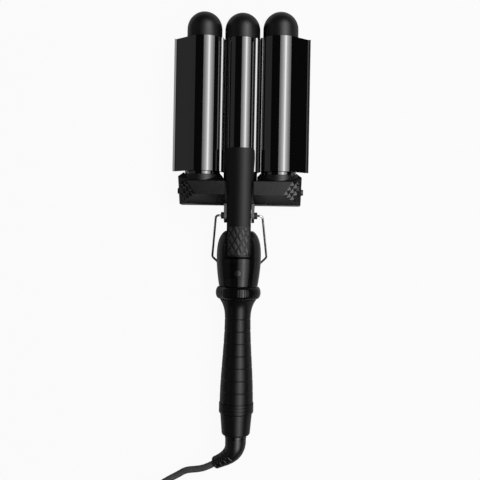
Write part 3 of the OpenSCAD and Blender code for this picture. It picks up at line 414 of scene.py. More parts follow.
def turned(name, profile, centre=(0, 0, 0), axis="Y", sides=128, angle=25):
    """Turn a profile of (radius, distance along the axis) pairs, in millimetres."""
    bpy.ops.object.select_all(action="DESELECT")
    way = Vector([letter == axis for letter in "XYZ"])
    radius, along = profile[0]
    start = at(*centre) + way * along / 1000
    bpy.ops.mesh.primitive_circle_add(
        vertices=sides, radius=radius / 1000, location=start, rotation=TURNS[axis]
    )
    piece = bpy.context.object
    piece.name = piece.data.name = name
    bpy.ops.object.transform_apply()
    bpy.ops.object.mode_set(mode="EDIT")
    bpy.ops.mesh.select_mode(type="VERT")
    bpy.ops.mesh.select_all(action="SELECT")
    for next_radius, next_along in profile[1:]:
        bpy.ops.mesh.extrude_region_move(
            TRANSFORM_OT_translate={"value": way * (next_along - along) / 1000}
        )
        grown = next_radius / radius
        bpy.ops.transform.resize(
            value=[1 if letter == axis else grown for letter in "XYZ"],
            center_override=at(*centre) + way * next_along / 1000,
        )
        if next_radius == 0:
            bpy.ops.mesh.merge(type="CENTER")
            break
        radius, along = next_radius, next_along
    bpy.ops.object.mode_set(mode="OBJECT")
    return tidied(piece, angle)


def arc(radius, centre, start, end, steps):
    """Points of an arc for a profile: radius, and distance along, by the angle from the axis."""
    return [
        (
            radius * math.sin(math.radians(start + (end - start) * i / steps)),
            centre + radius * math.cos(math.radians(start + (end - start) * i / steps)),
        )
        for i in range(steps + 1)
    ]


def eased(piece, width, segments=2, angle=35):
    """Round the sharp edges of a piece."""
    only(piece)
    bpy.ops.object.shade_smooth_by_angle(angle=math.radians(angle))
    rounding = piece.modifiers.new("edges", "BEVEL")
    rounding.width = width / 1000
    rounding.segments = segments
    rounding.angle_limit = math.radians(angle)
    rounding.harden_normals = True
    bpy.ops.object.modifier_apply(modifier=rounding.name)
    return piece


BALL_R = 9.8
BALL_AT = -2.2
STEM_R = 4.95
ball = turned(
    "swivel_ball_gloss",
    [(2.6, 24.9), (4.5, 24.9), (4.5, 24.5), (STEM_R, 24.5)]
    + arc(BALL_R, BALL_AT, 30.4, 94, 20)
    + [(2.6, -2.9), (2.6, 24.9)],
)
nylon = Finish("swivel nylon")
nylon_marks = nylon.noise(500, 4)
ball.data.materials.append(nylon.done(
    Base_Color=nylon.between(nylon_marks, (0.0022, 0.0022, 0.0024), (0.004, 0.004, 0.0044)),
    Roughness=nylon.spread(nylon_marks, 0.16, 0.24),
    Normal=nylon.bumps(nylon_marks, 0.06, 0.0001),
))
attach(ball, "cord")
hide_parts("swivel_ball")


# ---- Butt cap ----
# Cap moulded in satin black plastic that closes the handle's lower end. It has the socket of the
# swivel ball in its foot, and a bore for the ball's stem.
BUTT_R0 = 12.95
BUTT_R1 = 14.6
BUTT_ROUND = 2.2
BUTT_TOP = 20.3
butt = turned(
    "butt_cap_satin",
    [(10.1, 0.35), (10.35, 0.05)]
    + [
        (
            BUTT_R0 - BUTT_ROUND * (1 - math.sin(math.radians(a))),
            BUTT_ROUND * (1 - math.cos(math.radians(a))),
        )
        for a in range(5, 91, 7)
    ]
    + [(BUTT_R1 - 0.1, BUTT_TOP - 0.25), (BUTT_R1 - 0.35, BUTT_TOP), (5.1, BUTT_TOP), (5.1, 8),
       (9.2, 3), (10.1, 0.35)],
)
satin = Finish("satin grip")
satin_grain = satin.noise(1600, 2)
satin_rub = satin.noise(35, 4, (1, 0.35, 1))
satin_black = satin.done(
    Base_Color=satin.between(satin_rub, (0.0030, 0.0030, 0.0032), (0.0052, 0.0052, 0.0055)),
    Roughness=satin.spread(satin_rub, 0.25, 0.33),
    Specular_IOR_Level=0.28,
    Normal=satin.bumps(satin_grain, 0.16, 0.00012),
)
butt.data.materials.append(satin_black)
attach(butt, "handle")
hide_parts("butt_cap")


# ---- Grip band ----
# Raised ring of the same satin plastic, snapped over the joint of grip and butt cap. Two fine
# grooves run around it.
BAND_R = 15.75
band = turned(
    "grip_band_satin",
    [(13.2, 20.6), (BAND_R - 0.5, 20.6), (BAND_R - 0.15, 20.75), (BAND_R, 21.1), (BAND_R, 23.75),
     (BAND_R - 0.35, 23.95), (BAND_R - 0.35, 24.25), (BAND_R, 24.45), (BAND_R, 26.8),
     (BAND_R - 0.25, 27.0), (BAND_R - 0.25, 27.2), (BAND_R, 27.4), (BAND_R, 29.2),
     (BAND_R - 0.15, 29.55), (BAND_R - 0.5, 29.7), (13.2, 29.7), (13.2, 20.6)],
)
band.data.materials.append(satin_black)
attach(band, "handle")
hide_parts("grip_band")


# ---- Grip ----
# Two moulded half shells with a soft waist and seven shallow grooves around it, held together by
# two screws from the back. A fine parting line runs along both sides.
GRIP_S0 = 29.7
GRIP_S1 = 123.7
WAIST_AT = 106
WAIST_R = 11.8
FLARE_RISE = 5.1
FLARE_LONG = 18
FOOT_RISE = 3.4
GROOVES = [WAIST_AT - 11 * i for i in range(7)]
GROOVE_DEPTH = 0.4
GROOVE_HALF = 0.42


def grip_radius(s):
    if s > WAIST_AT:
        return WAIST_R + FLARE_RISE * ((s - WAIST_AT) / FLARE_LONG) ** 2.5
    return WAIST_R + FOOT_RISE * smooth_step(min(1, (WAIST_AT - s) / (WAIST_AT - GRIP_S0)))


def dip(s):
    nearest = min(abs(s - groove) for groove in GROOVES)
    return GROOVE_DEPTH * math.exp(-(nearest / GROOVE_HALF) ** 2)


grip_profile = [(grip_radius(GRIP_S0) - 0.3, GRIP_S0), (grip_radius(GRIP_S0), GRIP_S0 + 0.3)]
s = GRIP_S0 + 0.8
while s < GRIP_S1 - 0.4:
    grip_profile.append((grip_radius(s) - dip(s), s))
    s += 0.22 if min(abs(s - groove) for groove in GROOVES) < 1.1 else 1.0
grip_profile += [
    (grip_radius(GRIP_S1) - 0.15, GRIP_S1 - 0.15), (grip_radius(GRIP_S1) - 0.5, GRIP_S1),
    (10.9, GRIP_S1), (9.6, WAIST_AT), (12.8, 32), (12.8, GRIP_S0), grip_profile[0],
]


def halved(piece, name):
    """Cut a piece at the tool's middle plane, and give its front half and its rear half."""
    only(piece)
    bpy.ops.object.duplicate()
    rear = bpy.context.object
    rear.name = rear.data.name = name
    for part, outer in ((piece, False), (rear, True)):
        only(part)
        bpy.ops.object.mode_set(mode="EDIT")
        bpy.ops.mesh.select_all(action="SELECT")
        bpy.ops.mesh.bisect(
            plane_co=at(0, 0, -0.06 if outer else 0.06), plane_no=(0, 0, 1), use_fill=True,
            clear_outer=outer, clear_inner=not outer,
        )
        bpy.ops.object.mode_set(mode="OBJECT")
        tidied(part)
    return piece, rear


grip_shells = halved(turned("grip_shell_front", grip_profile), "grip_shell_rear")
for shell, node in zip(grip_shells, ("grip_front", "grip_rear")):
    shell.data.materials.append(satin_black)
    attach(shell, "handle")
    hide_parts(node)


def bored(piece, *tools):
    """Cut other pieces out of a piece, and remove them."""
    for tool in tools:
        only(piece)
        cut = piece.modifiers.new("cut", "BOOLEAN")
        cut.object = tool
        cut.solver = "EXACT"
        bpy.ops.object.modifier_apply(modifier=cut.name)
        bpy.data.objects.remove(tool)
    return piece


def drill(radius, centre, low, high, axis="Z", sides=40):
    return turned(
        "drill", [(0.01, low), (radius, low), (radius, high), (0.01, high)], centre, axis, sides
    )


SCREW_HOLE_R = 2.5
for s in (41.7, 100):
    bored(grip_shells[1], drill(SCREW_HOLE_R, (0, s, -20), 0, 23 - grip_radius(s)))


# ---- Screws ----
# Small black steel screws: hexagon sockets in the back of the shells, and two round-headed ones
# in the ends of the head block.
screw_steel = Finish("screw steel")
screw_scratch = screw_steel.noise(700, 5)
blackened = screw_steel.done(
    Base_Color=screw_steel.between(screw_scratch, (0.025, 0.025, 0.027), (0.06, 0.06, 0.062)),
    Metallic=0.85,
    Roughness=screw_steel.spread(screw_scratch, 0.3, 0.5),
    Normal=screw_steel.bumps(screw_scratch, 0.1, 0.0001),
)
coat(
    blackened, "grip_screws", "housing_screws", "block_screws", "bracket_screws", "lever_screws",
    "side_screws",
)


# ---- Spine and boards ----
# Chassis tube of glass-filled plastic that joins grip and housing inside, and two green circuit
# boards: the power board in the handle, and the control board behind the panel.
chassis = Finish("chassis plastic")
chassis_grain = chassis.noise(300, 4)
coat(chassis.done(
    Base_Color=chassis.between(chassis_grain, (0.020, 0.020, 0.022), (0.035, 0.035, 0.037)),
    Roughness=chassis.spread(chassis_grain, 0.5, 0.65),
    Normal=chassis.bumps(chassis_grain, 0.15, 0.0002),
), "spine")

board = Finish("circuit board")
board.node("TexBrick", {"offset": 0.5}, board.place(), Scale=260.0, Mortar_Size=0.06)
tracks = board.other("Fac")
coat(board.done(
    Base_Color=board.between(tracks, (0.010, 0.075, 0.032), (0.022, 0.130, 0.055)),
    Roughness=board.spread(board.noise(500), 0.3, 0.45),
    Normal=board.bumps(tracks, 0.2, 0.0001),
), "power_board", "control_board")


# ---- Temperature dial ----
# Ribbed ring that turns around the chassis between grip and housing. Moulded in gloss black, with
# 60 fine ribs across its rounded edge.
DIAL_AT = 129.95
DIAL_HALF = 5.65
DIAL_RIBS = 60
DIAL_EDGE_R = 3.2
DIAL_R = 20.5
RIBS_HALF = 0.92
RIBS_FROM_R = 16.5
RIB_DEPTH = 0.5
dial = turned(
    "dial_ring",
    [(14.1, DIAL_AT - DIAL_HALF)]
    + [
        (
            DIAL_R - DIAL_EDGE_R * (1 - math.cos(math.radians(a))),
            DIAL_AT + DIAL_HALF * math.sin(math.radians(a)),
        )
        for a in range(-90, 91, 10)
    ]
    + [(14.1, DIAL_AT + DIAL_HALF), (14.1, DIAL_AT - DIAL_HALF)],
    sides=DIAL_RIBS * 4,
)
for vertex in dial.data.vertices:
    x, y, z = vertex.co - at(0, DIAL_AT, 0)
    out = math.hypot(x, z)
    across = abs(y) * 1000 / DIAL_HALF
    if out > RIBS_FROM_R / 1000 and across < RIBS_HALF:
        quarter = round(math.atan2(z, x) / (2 * math.pi) * DIAL_RIBS * 4) % 4
        if quarter == 0:
            depth = RIB_DEPTH / 1000 * min(1, (RIBS_HALF - across) / 0.15)
            vertex.co -= Vector((x, 0, z)) / out * depth
        elif quarter != 2:
            # The ribs' flat tops are wider than their grooves
            slide = math.radians(0.65) * (1 if quarter == 3 else -1)
            vertex.co += Vector((-z, 0, x)) * slide
tidied(dial, 40)
gloss = Finish("gloss black")
gloss_haze = gloss.noise(220, 4)
gloss_black = gloss.done(
    Base_Color=gloss.between(gloss_haze, (0.0026, 0.0026, 0.0028), (0.0042, 0.0042, 0.0045)),
    Roughness=gloss.spread(gloss_haze, 0.11, 0.17),
    Specular_IOR_Level=0.32,
    Normal=gloss.bumps(gloss.noise(45, 2), 0.03, 0.0004),
)
dial.data.materials.append(gloss_black)
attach(dial, "dial")
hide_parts("temperature_dial")


# ---- Bulb housing ----
# Gloss black shell in two halves around the electronics: a bulb with a flat back, a sunk channel
# in front for the thumb lever, and the window of the panel below it.
HOUSE_S0 = 136.2
HOUSE_S1 = 186
BULB_AT = 160.15
BULB_R = 20.2
BULB_UP = 28.507
BULB_DOWN = 24.25
BULB_NARROWS = 2.55
BULB_BACK = -18.2
RECESS_X = 11.3
RECESS_S0 = 161.0
RECESS_H0 = 5.3
RECESS_H1 = 9
PANEL_X = 12
PANEL_S0 = 143.4
PANEL_S1 = 156.6


def bulb_radius(s):
    if s > BULB_AT:
        return BULB_R * (1 - ((s - BULB_AT) / BULB_UP) ** 3) ** (1 / 3)
    return BULB_R - BULB_NARROWS * ((BULB_AT - s) / BULB_DOWN) ** 1.6


def bulb(name, inset, s0, s1):
    profile = [
        (bulb_radius(s0 + (s1 - s0) * i / 64) - inset, s0 + (s1 - s0) * i / 64)
        for i in range(65)
    ]
    return turned(name, [(0.01, s0)] + profile + [(0.01, s1)], sides=160)


def cut_off(piece, point, direction, fill=True):
    """Cut off what lies beyond a plane."""
    only(piece)
    bpy.ops.object.mode_set(mode="EDIT")
    bpy.ops.mesh.select_all(action="SELECT")
    bpy.ops.mesh.bisect(plane_co=point, plane_no=direction, use_fill=fill, clear_outer=True)
    bpy.ops.object.mode_set(mode="OBJECT")
    return piece


def drawn(name, outline, depth):
    """Draw a closed outline, fill it, and give it a depth."""
    bpy.ops.object.select_all(action="DESELECT")
    bpy.ops.mesh.primitive_plane_add(size=0.001, location=outline[0])
    piece = bpy.context.object
    piece.name = piece.data.name = name
    bpy.ops.object.transform_apply()
    bpy.ops.object.mode_set(mode="EDIT")
    bpy.ops.mesh.select_mode(type="VERT")
    bpy.ops.mesh.select_all(action="SELECT")
    bpy.ops.mesh.merge(type="CENTER")
    for a, b in zip(outline, outline[1:]):
        bpy.ops.mesh.extrude_region_move(TRANSFORM_OT_translate={"value": b - a})
    bpy.ops.mesh.select_all(action="SELECT")
    bpy.ops.mesh.edge_face_add()
    bpy.ops.mesh.extrude_region_move(TRANSFORM_OT_translate={"value": depth})
    bpy.ops.mesh.select_all(action="SELECT")
    bpy.ops.mesh.normals_make_consistent(inside=False)
    bpy.ops.object.mode_set(mode="OBJECT")
    return piece


def channel(grow):
    return drawn(
        "channel",
        [
            at(-RECESS_X - grow, RECESS_S0 - grow, RECESS_H0 - grow),
            at(-RECESS_X - grow, HOUSE_S1 + 1, RECESS_H1 - grow),
            at(-RECESS_X - grow, HOUSE_S1 + 1, 30), at(-RECESS_X - grow, RECESS_S0 - grow, 30),
        ],
        Vector((2 * (RECESS_X + grow), 0, 0)) / 1000,
    )


def block_of(low, high):
    """A box between two corners."""
    return drawn(
        "box",
        [at(low[0], low[1], low[2]), at(high[0], low[1], low[2]), at(high[0], high[1], low[2]),
         at(low[0], high[1], low[2])],
        Vector((0, 0, high[2] - low[2])) / 1000,
    )


housing = cut_off(
    bulb("housing_shell_front", 0, HOUSE_S0, HOUSE_S1), at(0, 0, BULB_BACK), (0, 0, -1)
)
# A stepped rim runs along the channel's edge
rim = bored(channel(0.9), bulb("core", 0.5, HOUSE_S0 - 0.5, HOUSE_S1 + 0.5))
bored(
    housing, rim, channel(0),
    block_of((-PANEL_X - 0.15, PANEL_S0 - 0.15, 8), (PANEL_X + 0.15, PANEL_S1 + 0.15, 30)),
    drill(8.1, (0, 0, -3.5), HOUSE_S1 - 15, HOUSE_S1 + 1, "Y", 64),
)
housing_halves = halved(housing, "housing_shell_rear")
bored(
    housing_halves[1],
    *[drill(SCREW_HOLE_R, (x, 155.9, BULB_BACK - 1), 0, 5) for x in (-12.6, 12.6)],
)
for shell, node in zip(housing_halves, ("housing_front", "housing_rear")):
    eased(shell, 0.25)
    shell.data.materials.append(gloss_black)
    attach(shell, "handle")
    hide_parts(node)


# ---- Control panel ----
# Window of smoked gloss plastic that follows the bulb. The display shines through it, and the
# power button comes through a round hole.
BUTTON_AT = 148.2
panel = bulb("panel_window", 0, PANEL_S0 - 4, PANEL_S1 + 4)
for point, direction in (
    (at(PANEL_X, 0, 0), (1, 0, 0)), (at(-PANEL_X, 0, 0), (-1, 0, 0)),
    (at(0, PANEL_S1, 0), (0, 1, 0)), (at(0, PANEL_S0, 0), (0, -1, 0)), (at(0, 0, 10), (0, 0, -1)),
):
    cut_off(panel, point, direction, fill=False)
only(panel)
wall = panel.modifiers.new("wall", "SOLIDIFY")
wall.thickness = 0.00145
wall.offset = -1
bpy.ops.object.modifier_apply(modifier=wall.name)
bored(panel, drill(3.25, (0, BUTTON_AT, 0), 5, 30, "Z", 64))
eased(panel, 0.22)
window = Finish("panel window")
window_haze = window.noise(160, 3)
panel.data.materials.append(window.done(
    Base_Color=window.between(window_haze, (0.0010, 0.0010, 0.0012), (0.0020, 0.0020, 0.0024)),
    Roughness=window.spread(window_haze, 0.16, 0.24),
    Specular_IOR_Level=0.32,
))
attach(panel, "handle")
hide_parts("control_panel")

BUTTON_TOP = 20.4
RING_R = 1.4
RING_HALF = 0.17
button = turned(
    "power_button_key",
    [(3.6, 15.7), (3.6, 16.7), (3, 16.7), (3, 19.75), (2.85, 19.95), (2.2, 20.15), (1.1, 20.33),
     (0, BUTTON_TOP)],
    (0, BUTTON_AT, 0), "Z", 64,
)
key = Finish("button key")
key_grain = key.noise(1200, 2)
from_middle = key.away_from(at(0, BUTTON_AT, 20), (1, 1, 0))
ring = abs(from_middle - RING_R / 1000) < RING_HALF / 1000
button.data.materials.append(key.done(
    Base_Color=key.between(ring, (0.0025, 0.0025, 0.0028), (0.012, 0.012, 0.0125)),
    Roughness=key.spread(key_grain, 0.28, 0.38),
    Normal=key.bumps(key_grain, 0.15, 0.0001),
))
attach(button, "button")
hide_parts("power_button")

glass = Finish("display glass")
glass_cells = glass.noise(240, 2)
coat(glass.done(
    Base_Color=glass.between(glass_cells, (0.010, 0.014, 0.018), (0.018, 0.024, 0.030)),
    Roughness=glass.spread(glass_cells, 0.12, 0.2),
), "display_module")


# ---- Neck and hinge ----
# Short tube of glass-filled nylon between housing and head block. A folded steel bracket with two
# ears sits on it, and a hollow steel pin with a round boss at each end is the lever's hinge.
PIVOT_S = 199.7
PIVOT_H = 10
matte = Finish("matte black plastic")
matte_spark = matte.noise(1100, 3)
matte_wear = matte.noise(28, 4)
matte_black = matte.done(
    Base_Color=matte.between(matte_wear, (0.0028, 0.0028, 0.0031), (0.0058, 0.0058, 0.0062)),
    Roughness=matte.spread(matte_wear, 0.25, 0.31),
    Normal=matte.bumps(matte_spark, 0.3, 0.00016),
)
coat(matte_black, "neck_tube")

plate = Finish("bracket steel")
plate_lines = plate.noise(400, 4, (1, 0.06, 1))
coat(plate.done(
    Base_Color=plate.between(plate_lines, (0.10, 0.10, 0.105), (0.19, 0.19, 0.195)),
    Metallic=1.0,
    Roughness=plate.spread(plate_lines, 0.28, 0.45),
    Normal=plate.bumps(plate_lines, 0.1, 0.0001),
), "hinge_bracket")

bright = Finish("polished steel")
bright_lines = bright.noise(900, 3)
chrome = bright.done(
    Base_Color=bright.between(bright_lines, (0.62, 0.62, 0.64), (0.72, 0.72, 0.74)),
    Metallic=1.0,
    Roughness=bright.spread(bright_lines, 0.18, 0.28),
    Normal=bright.bumps(bright_lines, 0.05, 0.0001),
)
coat(chrome, "hinge_pin")
coat(blackened, "hinge_bosses")

spring_steel = Finish("spring steel")
spring_lines = spring_steel.noise(1500, 2)
coat(spring_steel.done(
    Base_Color=spring_steel.between(spring_lines, (0.32, 0.32, 0.34), (0.42, 0.42, 0.44)),
    Metallic=1.0,
    Roughness=spring_steel.spread(spring_lines, 0.25, 0.4),
), "lever_spring")


# ---- Wire stand ----
# One piece of 2 mm chromed wire, bent at six corners, with its ends in the hinge pin. Folded out,
# it reaches down to the table under the bulb.
STAND_REACH = 49.7
STAND_DROP = 29.5
STAND_TILT = math.atan2(STAND_DROP, STAND_REACH)
STAND_LONG = math.hypot(STAND_DROP, STAND_REACH)
STAND_CORNER = STAND_LONG - 12 / math.cos(STAND_TILT)


def bent(points, radius, steps):
    """Points of a wire bent at its corners to this radius."""
    found = [points[0]]
    for before, corner, after in zip(points, points[1:], points[2:]):
        come = (corner - before).normalized()
        go = (after - corner).normalized()
        half = come.angle(go) / 2
        cut = radius * math.tan(half)
        middle = corner + (go - come).normalized() * radius / math.cos(half)
        start, end = corner - come * cut, corner + go * cut
        for i in range(steps + 1):
            a, b = start - middle, end - middle
            share = i / steps
            full = a.angle(b)
            found.append(middle + (
                a * math.sin((1 - share) * full) + b * math.sin(share * full)
            ) / math.sin(full))
    found.append(points[-1])
    return found


def on_stand(across, down):
    return at(
        across, PIVOT_S - down * math.cos(STAND_TILT), PIVOT_H - down * math.sin(STAND_TILT)
    )


wire_points = [(12.7, 0), (20.9, 0), (25.3, STAND_CORNER), (13.3, STAND_LONG)]
wire_path = bent(
    [on_stand(x, v) for x, v in wire_points]
    + [on_stand(-x, v) for x, v in reversed(wire_points)],
    0.003, 10,
)
stand = swept("stand_wire", wire_path, [0.001] * len(wire_path), 24)
stand.data.materials.append(chrome)
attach(stand, "stand")
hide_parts("wire_stand")


# ---- Head block ----
# Crossbar of matte black nylon in two shells, screwed together from the back. It carries the
# outer barrels. Rows of small pyramids are moulded into its slanted ends.
FACE_S0, FACE_S1, FACE_H = 218, 230, 18.5
BARREL_X = 34.7
END_X = BARREL_X + 19
SLANT_X0, SLANT_X1 = BARREL_X + 3.9, BARREL_X + 11.9
SLANT_DROP = 9.5


def copied(name, node):
    """A copy of a CAD node's mesh, as one closed skin with plain faces."""
    piece = bpy.data.objects.new(name, nodes[node].data.copy())
    bpy.context.collection.objects.link(piece)
    piece.data.materials.clear()
    only(piece)
    bpy.ops.object.mode_set(mode="EDIT")
    bpy.ops.mesh.customdata_custom_splitnormals_clear()
    bpy.ops.mesh.select_all(action="SELECT")
    bpy.ops.mesh.remove_doubles(threshold=1e-6)
    bpy.ops.mesh.dissolve_limited(angle_limit=math.radians(0.5))
    bpy.ops.object.mode_set(mode="OBJECT")
    return piece


for name, node in (("block_shell_front", "block_front"), ("block_shell_rear", "block_rear")):
    shell = eased(copied(name, node), 0.3)
    shell.data.materials.append(matte_black)
    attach(shell, "handle")
    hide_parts(node)

# The slanted end's plane: along its upper edge, and down to the rim
edge_a = Vector((SLANT_X0, FACE_S0, FACE_H))
edge_b = Vector((SLANT_X1, FACE_S1, FACE_H))
edge_along = (edge_b - edge_a).normalized()
edge_angle = math.atan2(FACE_S1 - FACE_S0, SLANT_X1 - SLANT_X0)
edge_reach = (
    (END_X - SLANT_X0) * math.sin(edge_angle) - (FACE_S1 - FACE_S0) / 2 * math.cos(edge_angle)
)
edge_tilt = math.atan2(SLANT_DROP, edge_reach)
edge_down = (
    Vector((math.sin(edge_angle), -math.cos(edge_angle), 0)) * math.cos(edge_tilt)
    - Vector((0, 0, 1)) * math.sin(edge_tilt)
)
edge_out = edge_down.cross(edge_along)
PYRAMID = 5
PYRAMID_HEIGHT = 1.7


def only_faces(piece, wanted):
    """In edit mode, select just the faces that are wanted."""
    bpy.ops.mesh.select_mode(type="FACE")
    bpy.ops.object.mode_set(mode="OBJECT")
    for polygon in piece.data.polygons:
        polygon.select = wanted(polygon)
    bpy.ops.object.mode_set(mode="EDIT")


def pyramids(name, side):
    """A patch of pyramids laid on one slanted end. side is 1 at the right and -1 at the left."""
    corners = [(0.4, 0.5), (14.6, 0.5), (17.5, 5), (17.2, 8.6), (9.6, 16.2), (0.9, 16.2)]
    outline = []
    for along, down in corners:
        point = edge_a + edge_along * along + edge_down * down
        outline.append(at(side * point.x, point.y, point.z))
    out = Vector((side * edge_out.x, edge_out.y, edge_out.z))
    patch = drawn(name, outline, out * -0.0004)
    only(patch)
    bpy.ops.object.mode_set(mode="EDIT")
    for cross in (edge_along, edge_down):
        for i in range(1, 4):
            middle = edge_a + edge_along * 0.4 + edge_down * 0.5 + cross * (i * PYRAMID)
            bpy.ops.mesh.select_all(action="SELECT")
            bpy.ops.mesh.bisect(
                plane_co=at(side * middle.x, middle.y, middle.z),
                plane_no=Vector((side * cross.x, cross.y, cross.z)),
            )
    only_faces(patch, lambda polygon: polygon.normal.dot(out) > 0.9 and polygon.area > 1e-6)
    bpy.ops.mesh.poke(offset=PYRAMID_HEIGHT / 1000)
    bpy.ops.object.mode_set(mode="OBJECT")
    bpy.ops.object.shade_flat()
    patch.data.materials.append(matte_black)
    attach(patch, "handle")


pyramids("end_pyramids_right", 1)
pyramids("end_pyramids_left", -1)


# ---- Fixed barrels ----
# Aluminium tubes of 32 mm with a black mirror-gloss ceramic coating. Each sits in a moulded
# collar and ends in a domed heat-proof tip.
BARREL_R = 16
BARREL_S0, BARREL_S1 = 219.2, 360.4


def tube_profile(s0, s1):
    """Profile of a barrel tube with broken edges."""
    return [
        (BARREL_R - 1.5, s0), (BARREL_R - 0.2, s0), (BARREL_R, s0 + 0.2), (BARREL_R, s1 - 0.25),
        (BARREL_R - 0.1, s1 - 0.07), (BARREL_R - 0.3, s1), (BARREL_R - 1.5, s1),
        (BARREL_R - 1.5, s0),
    ]


glaze = Finish("barrel coating")
glaze_haze = glaze.noise(30, 3, (1, 0.15, 1))
glaze_dust = glaze.noise(2400, 2)
barrel_coating = glaze.done(
    Base_Color=glaze.between(
        glaze.spread(glaze_dust, 0, 1, 0.62, 0.75),
        (0.0008, 0.0008, 0.0009), (0.0050, 0.0050, 0.0054),
    ),
    Roughness=glaze.spread(glaze_haze, 0.05, 0.085),
    IOR=2.2,
)
resin = Finish("tip resin")
resin_grain = resin.noise(1300, 3)
resin_wear = resin.noise(60, 3)
tip_black = resin.done(
    Base_Color=resin.between(resin_wear, (0.0022, 0.0022, 0.0024), (0.0045, 0.0045, 0.0048)),
    Roughness=resin.spread(resin_wear, 0.33, 0.42),
    Normal=resin.bumps(resin_grain, 0.22, 0.00014),
)
for side, across in (("left", -BARREL_X), ("right", BARREL_X)):
    barrel = turned(
        f"barrel_tube_{side}", tube_profile(BARREL_S0, BARREL_S1), (across, 0, 0),
        sides=192, angle=15,
    )
    barrel.data.materials.append(barrel_coating)
    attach(barrel, "handle")
    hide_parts(f"barrel_{side}")

    collar = turned(
        f"barrel_collar_{side}",
        [(16.05, 229.1), (17.0, 229.1), (17.2, 229.3), (17.2, 235.8), (17.05, 236.25),
         (16.7, 236.5), (16.05, 236.5), (16.05, 229.1)],
        (across, 0, 0),
    )
    collar.data.materials.append(tip_black)
    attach(collar, "handle")
    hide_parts(f"collar_{side}")


TIP_STRAIGHT = 9.4


def tip(name, across, s, body, node):
    """Domed tip with its plug in the barrel's end."""
    piece = turned(
        name,
        [(12.4, s - 8), (14.4, s - 8), (14.45, s), (BARREL_R - 0.3, s), (BARREL_R - 0.1, s + 0.1),
         (BARREL_R, s + 0.35)]
        + arc(BARREL_R, s + TIP_STRAIGHT, 90, 0, 40)[:-1] + [(0, s + TIP_STRAIGHT + BARREL_R)],
        (across, 0, 0),
    )
    piece.data.materials.append(tip_black)
    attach(piece, body)
    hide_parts(node)


tip("tip_dome_left", -BARREL_X, BARREL_S1, "handle", "tip_left")
tip("tip_dome_right", BARREL_X, BARREL_S1, "handle", "tip_right")


# ---- Heaters ----
# Aluminium holders inside the barrels clamp a white ceramic heating plate. A sensor and a thermal
# fuse are clipped beside the outer two.
raw = Finish("bare aluminium")
raw_lines = raw.noise(300, 4, (1, 0.05, 1))
coat(raw.done(
    Base_Color=raw.between(raw_lines, (0.55, 0.56, 0.58), (0.70, 0.71, 0.72)),
    Metallic=1.0,
    Roughness=raw.spread(raw_lines, 0.3, 0.45),
), "heater_holder_left", "heater_holder_right", "heater_holder_centre")
ceramic = Finish("heater ceramic")
ceramic_grain = ceramic.noise(600, 4)
coat(ceramic.done(
    Base_Color=ceramic.between(ceramic_grain, (0.70, 0.68, 0.62), (0.80, 0.78, 0.72)),
    Roughness=ceramic.spread(ceramic_grain, 0.5, 0.65),
    Normal=ceramic.bumps(ceramic_grain, 0.1, 0.0001),
), "heater_plate_left", "heater_plate_right", "heater_plate_centre")
sensor = Finish("sensor glass")
sensor_tint = sensor.noise(400, 2)
coat(sensor.done(
    Base_Color=sensor.between(sensor_tint, (0.40, 0.22, 0.06), (0.55, 0.34, 0.12)),
    Roughness=sensor.spread(sensor_tint, 0.15, 0.3),
), "temperature_sensor", "thermal_fuse")


# ---- Moving jaw ----
# The centre barrel and the two thin covers beside it are one coated aluminium extrusion. The
# covers curve over the outer barrels and end in a flat flange with a small lip.
JAW_S0, JAW_S1 = 239.3, 359.4
JAW_LENGTH = Vector((0, JAW_S1 - JAW_S0, 0)) / 1000
COVER_IN, COVER_OUT = 17.8, 19.6
FLANGE = 11
FLANGE_DROP = 7.6


def on_cover(radius, angle):
    """A point of a cover's cross section, from the tool's middle and its axis."""
    turn = math.radians(angle)
    return BARREL_X + radius * math.cos(turn), radius * math.sin(turn)


centre_tube = turned(
    "jaw_tube_and_covers", tube_profile(JAW_S0, JAW_S1), sides=192, angle=15
)
for side in (1, -1):
    inner = [on_cover(COVER_IN, a) for a in range(176, 41, -2)]
    outer = [on_cover(COVER_OUT, a) for a in range(54, 177, 2)]
    edge_x, edge_h = inner[-1][0] + FLANGE, inner[-1][1] - FLANGE_DROP
    flange = [
        (edge_x, edge_h), (edge_x + 2.8, edge_h + 0.8), (edge_x + 2.6, edge_h + 2.3),
        (edge_x + 0.9, edge_h + 1.4),
    ]
    cover = drawn(
        "cover", [at(side * x, JAW_S0, h) for x, h in inner + flange + outer], JAW_LENGTH
    )
    # Between tube and cover lies a narrow slot with a sloping shoulder on each side
    root = [
        (14.6, 2), (16.2, 2), (18.9, 11.2), (18.4, 11.35), (17.1, 11.0), (16.7, 10.7),
        (16.5, 7.3), (14.4, 6.4), (14.3, 9.6), (13.8, 10.07), (12.3, 10.43), (12.1, 10.2),
    ]
    gutter = drawn("gutter", [at(side * x, JAW_S0, h) for x, h in root], JAW_LENGTH)
    only(centre_tube)
    cover.select_set(True)
    gutter.select_set(True)
    bpy.ops.object.join()
bpy.ops.object.shade_smooth_by_angle(angle=math.radians(9))
centre_tube.data.materials.append(barrel_coating)
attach(centre_tube, "lever")
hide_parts("jaw_extrusion")
tip("tip_dome_centre", 0, JAW_S1, "lever", "tip_centre")

# Moulded foot in the lower end of the centre tube, screwed into the lever
foot = eased(copied("jaw_foot_moulded", "jaw_foot"), 0.25)
foot.data.materials.append(matte_black)
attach(foot, "lever")
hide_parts("jaw_foot")


